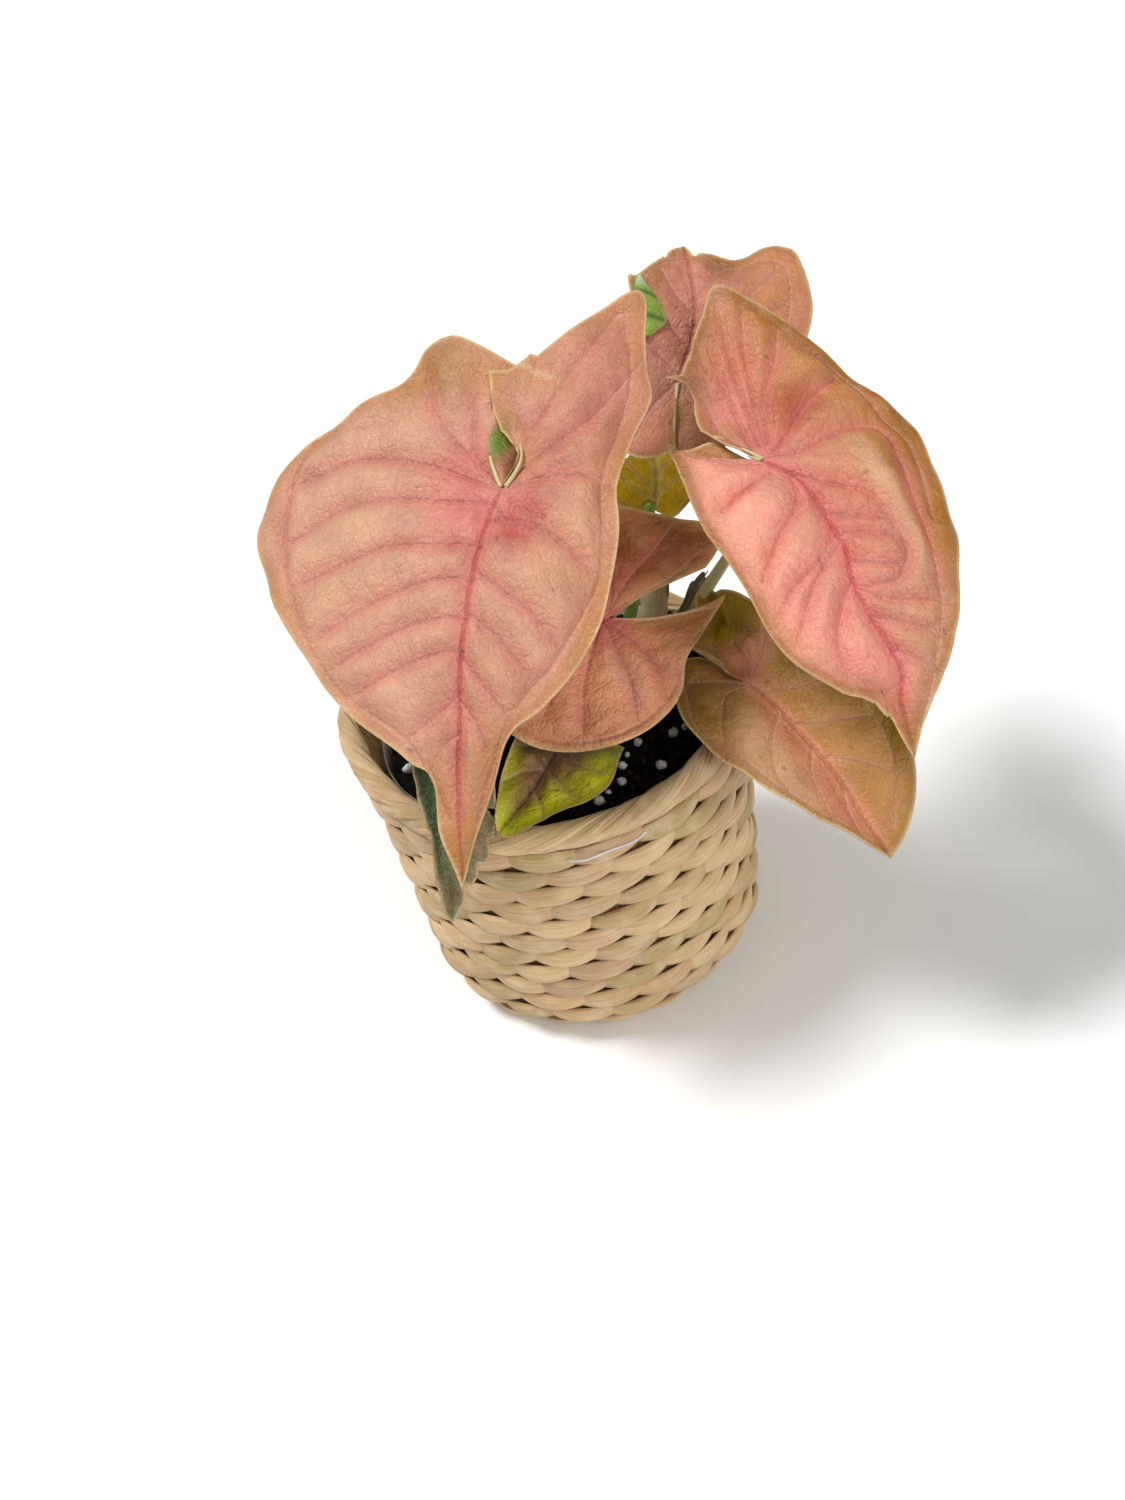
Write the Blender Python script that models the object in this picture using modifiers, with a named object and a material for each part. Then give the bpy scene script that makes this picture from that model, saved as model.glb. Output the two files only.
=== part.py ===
"""Arrowhead plant growing in a small woven basket.

The model is in metres with +Z up. The origin is the middle of the basket's base, and
the front of the plant is -Y. Sizes in the constants and tables are millimetres.
"""

import math

import bmesh
import bpy
import numpy as np

MM = 0.001

# Basket
BASKET_HEIGHT = 82.0
RIM_RADIUS = 49.4
BASE_RADIUS = 44.8
BASE_CORNER = 12.0
INNER_CORNER_SLOPE = 0.35
BASE_THICKNESS = 4.0
WALL_THICKNESS = 4.0
WEAVE_ROWS = 12
STROKES_PER_ROW = 18
STROKE_COLUMNS = 4
STROKE_SLANT = 0.3
WEAVE_DEPTH = 1.5
WEAVE_LOW = 0.2
RIM_ROUND = 3.0
RIM_OFFSET = 0.4
RIM_STRANDS = 22
RIM_SIDES = 66
STRAND_DEPTH = 0.22
BULGE_ANGLE = math.radians(158)
BULGE_WIDTH = 0.45
BULGE_DEPTH = 6.0
BULGE_START = 55.0

# Liner and soil
GAP = 0.3
SEAT_GAP = 0.2
LINER_THICKNESS = 0.6
LINER_TOP = 79.5
LINER_SIDES = 44
SOIL_TOP = 74.5
SOIL_SIDES = 38
SOIL_RINGS = 11
SOIL_BUMP = 0.9
FOOT_CLEAR = 3.0
PERLITE_GRAINS = 34
PERLITE_HEIGHT = 1.1
PERLITE_SIZE = 1.6
HOLE_DEPTH = 9.0
HOLE_CLEARANCE = 0.3

# Leaves
BLADE_THICKNESS = 0.7
LARGE_BLADE = (36, 7)
SMALL_BLADE = (24, 5)
SMALL_LENGTH = 42.5
MIDRIB_DEPTH = 0.8
MIDRIB_WIDTH = 2.4
MIDRIB_START = 6.0
LOBE_SPAN = 40.0
TUBE_POINTS = 14
PETIOLE_NECK = 1.5
PETIOLE_SEAT = 1.8
STEM_RISE = 10.0
PETIOLE_BASE = 1.9
PETIOLE_TOP = 1.1

SEED = 7

# One entry a leaf. `joint` is where the stalk meets the blade and `tip` is its point.
# `face` is the way its upper side looks. `arch` lifts the midrib's middle. `fold` and
# `curl` are degrees: how far each half rises from the midrib, and how much it turns by
# `width`. `lobe` raises the parts behind the joint. `left` and `right` are the outline,
# seen with the tip hanging down: (degrees from the tip direction, reach from the joint).
# `gape` opens the notch between the lobes by degrees. `ripple` is height, waves, phase.
# `foot` is where the stalk stands, `out` how it sets out, and `elbow` where it comes from
# as it meets the blade.
LEAVES = {
    "leaf_front_left": {
        "joint": (1.4, -4.6, 148.4),
        "tip": (-27.9, -66.2, 90.8),
        "face": (-0.32, -0.60, 0.74),
        "arch": 8,
        "fold": (4, 2),
        "curl": (-14, -62),
        "width": 45,
        "lobe": (18, 10),
        "left": [(0, 89), (5, 72), (12, 64), (30, 60), (50, 61), (75, 65), (92, 67),
                 (110, 57), (130, 43), (145, 46), (153, 44), (161, 38), (171, 33)],
        "right": [(0, 89), (4, 76), (9, 61), (27, 49), (45, 40), (68, 31), (98, 26),
                  (115, 29), (134, 42), (147, 50), (156, 57), (164, 48), (175, 38),
                  (187, 31)],
        "gape": (10, 14),
        "ripple": (1.2, 5, 20),
        "foot": (0, 1),
        "out": (-2, 6, 38),
        "elbow": (4, 7, -20),
    },
    "leaf_front_right": {
        "joint": (60.7, -3.0, 138.2),
        "tip": (74.8, -67.0, 96.0),
        "face": (0.02, -0.60, 0.80),
        "arch": 8,
        "fold": (12, 8),
        "curl": (-50, -35),
        "width": 40,
        "lobe": (20, 25),
        "left": [(0, 78), (2, 68), (9, 60), (20, 50), (33, 34), (62, 23), (98, 19),
                 (128, 21), (145, 12)],
        "right": [(0, 78), (3, 73), (14, 64), (30, 54), (57, 42), (76, 38), (98, 39),
                  (131, 39), (148, 43), (160, 48), (169, 52), (175, 44), (188, 35)],
        "gape": (0, 6),
        "ripple": (1.3, 5, 70),
        "foot": (27, 7),
        "out": (13, 3, 32),
        "elbow": (6, 11, -19),
    },
    "leaf_back": {
        "joint": (49.4, 33.2, 142.8),
        "tip": (61.3, 71.4, 158.9),
        "face": (-0.05, -0.62, 0.78),
        "arch": 3,
        "fold": (14, 10),
        "curl": (-20, -20),
        "width": 35,
        "lobe": (-20, -20),
        "left": [(0, 43), (6, 36), (15, 36), (26, 39), (34, 46), (44, 42), (60, 34),
                 (90, 24), (130, 20), (152, 20), (166, 12)],
        "right": [(0, 43), (6, 40), (18, 33), (28, 24), (50, 17), (90, 15), (130, 19),
                  (152, 21), (166, 12)],
        "gape": (0, 0),
        "ripple": (1.2, 7, 10),
        "foot": (24, 15),
        "out": (14, 6, 30),
        "elbow": (-3, 4, -18),
    },
    "leaf_middle": {
        "joint": (19.3, -8.2, 108.2),
        "tip": (-19.1, -21.7, 108.0),
        "face": (0.12, -0.66, 0.74),
        "arch": 0.5,
        "fold": (12, 10),
        "curl": (-10, -12),
        "width": 35,
        "lobe": (20, 20),
        "left": [(0, 41), (8, 36), (20, 27), (42, 18), (70, 17), (95, 22), (115, 27),
                 (138, 28), (152, 30), (165, 34), (173, 33), (179, 27)],
        "right": [(0, 41), (12, 39), (30, 38), (52, 34), (80, 29), (105, 25), (122, 21),
                  (140, 22), (155, 25), (165, 29)],
        "gape": (-6, 8),
        "ripple": (1.0, 5, 120),
        "foot": (9, 6),
        "out": (2, 4, 20),
        "elbow": (-2, 7, -12),
    },
    "leaf_low_right": {
        "joint": (47.9, -22.0, 89.6),
        "tip": (67.6, -71.0, 70.4),
        "face": (0.10, -0.66, 0.74),
        "arch": 5,
        "fold": (10, 10),
        "curl": (-20, -20),
        "width": 35,
        "lobe": (10, 0),
        "left": [(0, 56), (3, 51), (9, 44), (24, 33), (40, 26), (62, 21), (84, 19),
                 (110, 18), (140, 19), (154, 16), (162, 9)],
        "right": [(0, 56), (3, 55), (10, 51), (23, 43), (40, 32), (66, 22), (95, 17),
                  (120, 17), (145, 22), (155, 18), (163, 9)],
        "gape": (0, 0),
        "ripple": (1.0, 5, 200),
        "foot": (23, -4),
        "out": (3, -1, 15),
        "elbow": (-12, 5, -4),
    },
    "leaf_rim": {
        "joint": (0.4, -25.6, 88.0),
        "tip": (-18.5, -52.8, 89.4),
        "face": (0.1, -0.5, 0.85),
        "arch": 3,
        "fold": (10, 16),
        "curl": (10, 20),
        "width": 25,
        "lobe": (0, 0),
        "left": [(0, 33), (5, 30), (14, 23), (30, 16), (60, 11), (100, 9), (140, 10),
                 (150, 8)],
        "right": [(0, 33), (5, 33), (15, 28), (26, 25), (40, 24), (55, 22), (70, 19),
                  (95, 16), (130, 14), (150, 8)],
        "gape": (0, 0),
        "ripple": (0.8, 5, 40),
        "foot": (4, -9),
        "out": (0, -2, 14),
        "elbow": (2, 9, -5),
    },
    "leaf_hanging": {
        "joint": (-28.8, -35.6, 98.3),
        "tip": (-34.3, -52.2, 66.0),
        "face": (-0.15, -0.8, 0.5),
        "arch": 5,
        "fold": (30, 15),
        "curl": (-10, -10),
        "width": 20,
        "lobe": (0, 0),
        "left": [(0, 39), (3, 34), (6, 20), (14, 13), (35, 8), (80, 6), (130, 6),
                 (155, 5)],
        "right": [(0, 39), (4, 35), (15, 28), (28, 23), (45, 14), (80, 8), (130, 7),
                  (155, 5)],
        "gape": (0, 0),
        "ripple": (0.8, 6, 90),
        "foot": (-8, -4),
        "out": (-3, -3, 26),
        "elbow": (7, 10, -3),
    },
    "leaf_turned": {
        "joint": (37.3, 24.5, 113.5),
        "tip": (29.0, 23.5, 132.6),
        "face": (-0.1, 0.85, 0.5),
        "arch": 2,
        "fold": (10, 10),
        "curl": (-30, -30),
        "width": 18,
        "lobe": (0, 0),
        "left": [(0, 22), (8, 20), (30, 17), (60, 15), (95, 13), (125, 10), (150, 6)],
        "right": [(0, 22), (8, 20), (30, 16), (60, 10), (95, 7), (125, 6), (150, 5)],
        "gape": (0, 0),
        "ripple": (0.6, 5, 60),
        "foot": (16, 7),
        "out": (6, 6, 24),
        "elbow": (-1, -3, -15),
    },
}

# Dry sheaths: the stalk each clasps, how high it reaches, and where its open side looks
SHEATHS = {
    "sheath_dry": ("leaf_front_right", 100.0, math.radians(250)),
    "sheath_pale": ("leaf_back", 98.0, math.radians(120)),
}
SHEATH_GRID = (5, 7)
SHEATH_SPREAD = math.radians(200)
SHEATH_NARROWING = 0.55
SHEATH_BELLY = 1.2
SHEATH_CLEARANCE = 0.3
SHEATH_LIFT = 1.4

# Colours in linear light
COLOURS = {
    "straw": (0.55, 0.38, 0.20),
    "liner": (0.75, 0.78, 0.78),
    "soil": (0.012, 0.009, 0.008),
    "pink_leaf": (0.62, 0.28, 0.20),
    "tan_leaf": (0.45, 0.22, 0.10),
    "green_leaf": (0.20, 0.22, 0.03),
    "stalk": (0.30, 0.36, 0.10),
    "sheath": (0.40, 0.30, 0.18),
}
BLADE_COLOURS = {
    "leaf_front_left": "pink_leaf",
    "leaf_front_right": "pink_leaf",
    "leaf_back": "pink_leaf",
    "leaf_middle": "tan_leaf",
    "leaf_low_right": "tan_leaf",
    "leaf_rim": "green_leaf",
    "leaf_hanging": "green_leaf",
    "leaf_turned": "green_leaf",
}


def clear_scene():
    for obj in list(bpy.data.objects):
        bpy.data.objects.remove(obj, do_unlink=True)


def new_collection(name):
    collection = bpy.data.collections.new(name)
    bpy.context.scene.collection.children.link(collection)
    return collection


def material(name, colour, roughness, alpha=1.0):
    made = bpy.data.materials.new(name)
    made.use_nodes = True
    shader = made.node_tree.nodes["Principled BSDF"]
    shader.inputs["Base Color"].default_value = (*colour, 1.0)
    shader.inputs["Roughness"].default_value = roughness
    shader.inputs["Metallic"].default_value = 0.0
    shader.inputs["Alpha"].default_value = alpha
    return made


def add_object(name, mesh, made, collection):
    obj = bpy.data.objects.new(name, mesh)
    mesh.materials.clear()
    mesh.materials.append(made)
    collection.objects.link(obj)
    return obj


def to_mesh_object(obj, collection):
    """Replace an object by one whose mesh is what its modifiers or curve make."""
    graph = bpy.context.evaluated_depsgraph_get()
    mesh = bpy.data.meshes.new_from_object(obj.evaluated_get(graph))
    name = obj.name
    made = obj.data.materials[0]
    bpy.data.objects.remove(obj, do_unlink=True)
    fresh = add_object(name, mesh, made, collection)
    fresh.name = name
    return fresh


def edit_points(obj, change):
    """Move every vertex of a mesh by a function from its millimetres to new ones."""
    for vertex in obj.data.vertices:
        vertex.co = [MM * value for value in change(*(value / MM for value in vertex.co))]
    obj.data.update()


def unit(vector):
    return np.asarray(vector, float) / np.linalg.norm(vector)


def smooth_step(value):
    value = np.clip(value, 0.0, 1.0)
    return value * value * (3 - 2 * value)


# Basket, liner and soil


def turned(name, profile, steps, made, collection):
    """Turn a profile of (radius, height) points about Z and weld it at the axis."""
    mesh = bpy.data.meshes.new(name)
    points = [(radius * MM, 0.0, height * MM) for radius, height in profile]
    edges = [(index, index + 1) for index in range(len(points) - 1)]
    mesh.from_pydata(points, edges, [])
    obj = add_object(name, mesh, made, collection)
    screw = obj.modifiers.new("Turn", "SCREW")
    screw.steps = steps
    screw.render_steps = steps
    screw.use_merge_vertices = True
    screw.merge_threshold = 1e-5
    obj = to_mesh_object(obj, collection)
    weld(obj)
    return obj


def weld(obj):
    shape = bmesh.new()
    shape.from_mesh(obj.data)
    bmesh.ops.remove_doubles(shape, verts=shape.verts, dist=1e-5)
    bmesh.ops.recalc_face_normals(shape, faces=shape.faces)
    shape.to_mesh(obj.data)
    shape.free()


def outer_radius(height):
    """The basket's outer radius at a height: it flares, with a rounded bottom corner."""
    flared = BASE_RADIUS + (RIM_RADIUS - BASE_RADIUS) * height / BASKET_HEIGHT
    if height >= BASE_CORNER:
        return flared
    drop = BASE_CORNER - height
    return flared - BASE_CORNER + math.sqrt(BASE_CORNER**2 - drop**2)


def bulge(angle, height):
    """How far the rim is pressed out of round at an angle."""
    away = math.remainder(angle - BULGE_ANGLE, 2 * math.pi) / BULGE_WIDTH
    rise = float(smooth_step((height - BULGE_START) / (BASKET_HEIGHT - BULGE_START)))
    return BULGE_DEPTH * math.exp(-away * away) * rise


def wall_top():
    return BASKET_HEIGHT - 2 * RIM_ROUND - GAP


def weave_height(angle, height):
    """Relief of the woven strokes: ovals in rows, each row half a stroke on."""
    row_height = wall_top() / WEAVE_ROWS
    row = math.floor(height / row_height + 1e-6)
    along = height / row_height - row
    stroke = angle * STROKES_PER_ROW / (2 * math.pi) + 0.5 * (row % 2) + STROKE_SLANT * along
    swell = math.sin(math.pi * along) ** 0.5 if 0.01 < along < 0.99 else 0.0
    return WEAVE_DEPTH * swell * (WEAVE_LOW + (1 - WEAVE_LOW) * abs(math.sin(math.pi * stroke)))


def make_wall(made, collection):
    rings = 2 * WEAVE_ROWS
    outer = [wall_top() * step / rings for step in range(rings, 0, -1)]
    inner = [BASE_THICKNESS + (wall_top() - BASE_THICKNESS) * step / 5 for step in range(6)]
    floor_radius = outer_radius(BASE_CORNER) - WALL_THICKNESS
    profile = [(0.0, BASE_THICKNESS), (floor_radius * 0.6, BASE_THICKNESS)]
    profile += [(inner_radius(height), height) for height in inner]
    profile += [(outer_radius(height), height) for height in outer]
    profile += [(outer_radius(0.0), 0.0), (outer_radius(0.0) * 0.5, 0.0), (0.0, 0.0)]
    steps = STROKES_PER_ROW * STROKE_COLUMNS
    wall = turned("basket_wall", profile, steps, made, collection)

    def shape(x, y, z):
        radius = math.hypot(x, y)
        angle = math.atan2(y, x)
        if radius < 1.0:
            return x, y, z
        moved = radius
        if radius > outer_radius(z) - 0.01 and 0.5 < z:
            moved += weave_height(angle, z)
        if z > BASE_THICKNESS + 1:
            moved += bulge(angle, z)
        return x * moved / radius, y * moved / radius, z

    edit_points(wall, shape)
    return wall


def inner_radius(height):
    flared = BASE_RADIUS + (RIM_RADIUS - BASE_RADIUS) * height / BASKET_HEIGHT
    inset = max(0.0, BASE_CORNER - height) * INNER_CORNER_SLOPE
    return flared - WALL_THICKNESS - inset


def rim_ring():
    """Radius of the middle of the border's strands."""
    return RIM_RADIUS - WALL_THICKNESS / 2 + RIM_OFFSET


def make_rim(made, collection):
    """The braided border: a ring whose section swells and turns with each strand."""
    ring = rim_ring()
    bpy.ops.mesh.primitive_torus_add(
        major_segments=RIM_SIDES,
        minor_segments=8,
        major_radius=ring * MM,
        minor_radius=RIM_ROUND * MM,
        location=(0, 0, (BASKET_HEIGHT - RIM_ROUND) * MM),
    )
    rim = bpy.context.object
    bpy.ops.object.transform_apply(location=True)
    rim.name = "basket_rim"
    rim.data.materials.append(made)
    for owner in list(rim.users_collection):
        owner.objects.unlink(rim)
    collection.objects.link(rim)
    middle = BASKET_HEIGHT - RIM_ROUND

    def shape(x, y, z):
        radius = math.hypot(x, y)
        angle = math.atan2(y, x)
        turn = math.atan2(z - middle, radius - ring)
        swell = 1.0 - STRAND_DEPTH * (0.5 + 0.5 * math.cos(RIM_STRANDS * angle + turn))
        out = ring + (radius - ring) * swell + bulge(angle, BASKET_HEIGHT)
        return x * out / radius, y * out / radius, middle + (z - middle) * swell

    edit_points(rim, shape)
    return rim


def liner_radius(height):
    top = rim_ring() - RIM_ROUND - GAP
    low = inner_radius(BASE_THICKNESS + GAP) - GAP
    return low + (top - low) * (height - BASE_THICKNESS - GAP) / (LINER_TOP - BASE_THICKNESS - GAP)


def make_liner(made, collection):
    bottom = BASE_THICKNESS + GAP
    heights = [LINER_TOP + (bottom - LINER_TOP) * step / 2 for step in range(3)]
    profile = [(liner_radius(height), height) for height in heights]
    profile += [(liner_radius(bottom) * 0.5, bottom), (0.0, bottom)]
    liner = turned("liner", profile, LINER_SIDES, made, collection)
    solidify(liner, LINER_THICKNESS)
    return liner


def solidify(obj, thickness):
    shell = obj.modifiers.new("Thickness", "SOLIDIFY")
    shell.thickness = thickness * MM
    shell.offset = -1.0


def soil_relief(x, y, grains):
    """Lumps of the mix and grains of perlite, flat where a stem stands."""
    clear = min(math.hypot(x - foot[0], y - foot[1]) for foot in feet())
    lumps = math.sin(0.55 * x + 1.3) * math.sin(0.61 * y) + 0.6 * math.sin(0.9 * x - 0.8 * y)
    height = SOIL_BUMP * lumps
    for grain_x, grain_y, size in grains:
        away = math.hypot(x - grain_x, y - grain_y) / size
        height += PERLITE_HEIGHT * math.exp(-away * away)
    return height * float(smooth_step(clear / FOOT_CLEAR - 1))


def perlite_grains():
    draw = np.random.default_rng(SEED)
    reach = liner_radius(SOIL_TOP) - 5
    radii = reach * np.sqrt(draw.random(PERLITE_GRAINS))
    angles = draw.random(PERLITE_GRAINS) * 2 * math.pi
    sizes = PERLITE_SIZE + draw.random(PERLITE_GRAINS)
    return list(zip(radii * np.cos(angles), radii * np.sin(angles), sizes))


def feet():
    return [leaf["foot"] for leaf in LEAVES.values()]


def make_soil(made, collection, cutters):
    bottom = BASE_THICKNESS + 2 * GAP + LINER_THICKNESS
    side = [
        (liner_radius(height) - LINER_THICKNESS - GAP, height)
        for height in (SOIL_TOP, (SOIL_TOP + bottom) / 2, bottom)
    ]
    top = [(side[0][0] * step / SOIL_RINGS, SOIL_TOP) for step in range(SOIL_RINGS)]
    soil = turned("soil", top + side + [(0.0, bottom)], SOIL_SIDES, made, collection)
    edge = side[0][0]
    grains = perlite_grains()

    def shape(x, y, z):
        if z < SOIL_TOP - 0.01 or math.hypot(x, y) > edge - 0.5:
            return x, y, z
        return x, y, z + soil_relief(x, y, grains)

    edit_points(soil, shape)
    for number, foot in enumerate(feet()):
        make_hole_cutter(foot, number, cutters)
    holes = soil.modifiers.new("Holes", "BOOLEAN")
    holes.operation = "DIFFERENCE"
    holes.operand_type = "COLLECTION"
    holes.collection = cutters
    holes.solver = "MANIFOLD"
    return soil


def make_hole_cutter(foot, number, cutters):
    bpy.ops.mesh.primitive_cylinder_add(
        vertices=12,
        radius=(PETIOLE_BASE + HOLE_CLEARANCE) * MM,
        depth=2 * HOLE_DEPTH * MM,
        location=(foot[0] * MM, foot[1] * MM, SOIL_TOP * MM),
    )
    cutter = bpy.context.object
    cutter.name = f"hole_cutter_{number}"
    cutter.hide_render = True
    cutter.display_type = "WIRE"
    for owner in list(cutter.users_collection):
        owner.objects.unlink(cutter)
    cutters.objects.link(cutter)


# Leaves


def reach(table, angle):
    """Smooth distance from the joint to the margin at each angle of the outline table."""
    at = np.array([row[0] for row in table], float)
    out = np.array([row[1] for row in table], float)
    span = np.diff(at)
    slope = np.diff(out) / span
    tangent = np.concatenate([slope[:1], slope, slope[-1:]])
    tangent = 0.5 * (tangent[:-1] + tangent[1:])
    piece = np.clip(np.searchsorted(at, angle, side="right") - 1, 0, len(span) - 1)
    step = np.clip((angle - at[piece]) / span[piece], 0, 1)
    start = (1 + 2 * step) * (1 - step) ** 2 * out[piece]
    start += step * (1 - step) ** 2 * span[piece] * tangent[piece]
    end = step**2 * (3 - 2 * step) * out[piece + 1]
    end += step**2 * (step - 1) * span[piece] * tangent[piece + 1]
    return start + end


def midrib(leaf, share):
    """Points on the midrib at shares of its length, and its forward and upward axes."""
    joint = np.array(leaf["joint"], float)
    chord = np.array(leaf["tip"], float) - joint
    along = unit(chord)
    up = unit(np.array(leaf["face"]) - (np.array(leaf["face"]) @ along) * along)
    lift = leaf["arch"] * 4 * share * (1 - share)
    points = joint + np.outer(share, chord) + np.outer(lift, up)
    slope = leaf["arch"] * 4 * (1 - 2 * share)
    forward = chord + np.outer(slope, up)
    forward /= np.linalg.norm(forward, axis=1)[:, None]
    normal = up - (forward @ up)[:, None] * forward
    normal /= np.linalg.norm(normal, axis=1)[:, None]
    return points, forward, normal


def bend(rate, length):
    """Run and rise of an arc that turns `rate` radians each millimetre."""
    straight = np.abs(rate) < 1e-6
    safe = np.where(straight, 1.0, rate)
    run = np.where(straight, length, np.sin(safe * length) / safe)
    rise = np.where(straight, 0.0, (1 - np.cos(safe * length)) / safe)
    return run, rise


def leaf_points(leaf, u, v, height):
    """Place flat leaf coordinates in space: u along the midrib, v to the right."""
    length = np.linalg.norm(np.subtract(leaf["tip"], leaf["joint"]))
    middle, forward, normal = midrib(leaf, np.clip(u / length, 0, None))
    side = np.where(v < 0, 0, 1)
    back = np.clip(-u, 0, None)
    lobe_rate = np.radians(np.array(leaf["lobe"], float))[side] / LOBE_SPAN
    run, rise = bend(lobe_rate, back)
    turn = lobe_rate * back
    middle = middle - forward * run[:, None] + normal * rise[:, None]
    across = np.cross(normal, forward)
    upward = normal * np.cos(turn)[:, None] + forward * np.sin(turn)[:, None]
    fold = np.radians(np.array(leaf["fold"], float))[side]
    curl_rate = np.radians(np.array(leaf["curl"], float))[side] / leaf["width"]
    run, rise = bend(curl_rate, np.abs(v))
    out = np.sign(v) * (run * np.cos(fold) - rise * np.sin(fold))
    lift = run * np.sin(fold) + rise * np.cos(fold)
    tilt = fold + curl_rate * np.abs(v)
    surface = upward * np.cos(tilt)[:, None]
    surface = surface - across * (np.where(v < 0, -1, 1) * np.sin(tilt))[:, None]
    return middle + across * out[:, None] + upward * lift[:, None] + surface * height[:, None]


def leaf_flat(leaf, side, depth):
    """Flat coordinates and relief from a ray, -1 to 1 across, and a share of its reach."""
    last = np.where(side < 0, leaf["left"][-1][0], leaf["right"][-1][0])
    spread = 0.3 * np.abs(side) + 0.35 * (1 - np.cos(math.pi * side))
    gape = np.where(side < 0, leaf["gape"][0], leaf["gape"][1])
    angle = last * spread
    far = np.where(side < 0, reach(leaf["left"], angle), reach(leaf["right"], angle))
    angle = angle - gape * spread**8 * np.sin(math.pi * np.clip(depth, 0, 1) ** 0.7)
    turn = np.radians(angle) * np.sign(side)
    u = depth * far * np.cos(turn)
    v = depth * far * np.sin(turn)
    swing, waves, phase = leaf["ripple"]
    height = swing * depth**3 * np.sin(waves * turn + math.radians(phase))
    groove = MIDRIB_DEPTH * np.exp(-((v / MIDRIB_WIDTH) ** 2))
    height = height - groove * smooth_step(u / MIDRIB_START) * smooth_step((1 - depth) * 4)
    return u, v, height


def make_blade(name, leaf, made, collection):
    """A flat grid of rays and rings, laid out as the leaf and thickened."""
    length = math.dist(leaf["joint"], leaf["tip"])
    rays, rings = SMALL_BLADE if length < SMALL_LENGTH else LARGE_BLADE
    shape = bmesh.new()
    bmesh.ops.create_grid(shape, x_segments=rays, y_segments=rings, size=1.0)
    points = np.array([vertex.co for vertex in shape.verts])
    u, v, height = leaf_flat(leaf, -points[:, 0], 0.5 + 0.5 * points[:, 1])
    placed = leaf_points(leaf, u, v, height) * MM
    for vertex, place in zip(shape.verts, placed):
        vertex.co = place
    bmesh.ops.remove_doubles(shape, verts=shape.verts, dist=1e-6)
    bmesh.ops.triangulate(shape, faces=shape.faces)
    mesh = bpy.data.meshes.new(name + "_blade")
    shape.to_mesh(mesh)
    shape.free()
    mesh.shade_smooth()
    blade = add_object(name + "_blade", mesh, made, collection)
    solidify(blade, BLADE_THICKNESS)
    return blade


def stalk_points(leaf):
    """Points of a stalk, upright in its hole and square to the blade where they meet."""
    foot = np.array([*leaf["foot"], SOIL_TOP - HOLE_DEPTH + HOLE_CLEARANCE])
    share = PETIOLE_SEAT / math.dist(leaf["joint"], leaf["tip"])
    middle, _, normal = midrib(leaf, np.array([share]))
    groove = MIDRIB_DEPTH * smooth_step((PETIOLE_SEAT + PETIOLE_TOP) / MIDRIB_START)
    seat = middle[0] - normal[0] * (BLADE_THICKNESS + SEAT_GAP + groove)
    first = foot + np.array(leaf["out"])
    second = seat + np.array(leaf["elbow"])
    share = np.linspace(0, 1, TUBE_POINTS)[:, None]
    rest = 1 - share
    path = rest**3 * foot + 3 * rest**2 * share * first
    path += 3 * rest * share**2 * second + share**3 * seat
    leaving = smooth_step((path[:, 2:] - SOIL_TOP - 2) / STEM_RISE)
    path[:, :2] = foot[:2] + (path[:, :2] - foot[:2]) * leaving
    path[-2] = seat - normal[0] * PETIOLE_NECK
    return path


def make_stalk(name, leaf, made, collection):
    """The petiole: a tapering tube, upright where it stands in its hole."""
    curve = bpy.data.curves.new(name + "_petiole", "CURVE")
    curve.dimensions = "3D"
    curve.bevel_depth = PETIOLE_BASE * MM
    curve.bevel_resolution = 2
    curve.use_fill_caps = True
    spline = curve.splines.new("POLY")
    spline.points.add(TUBE_POINTS - 1)
    for index, point in enumerate(stalk_points(leaf)):
        spline.points[index].co = (*(point * MM), 1.0)
        share = index / (TUBE_POINTS - 1)
        spline.points[index].radius = 1 + (PETIOLE_TOP / PETIOLE_BASE - 1) * share
    curve.materials.append(made)
    obj = bpy.data.objects.new(name + "_petiole", curve)
    collection.objects.link(obj)
    return obj


def points_at(path, heights):
    """Where a rising path passes the given heights."""
    return np.stack([np.interp(heights, path[:, 2], path[:, axis]) for axis in range(3)], 1)


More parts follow.
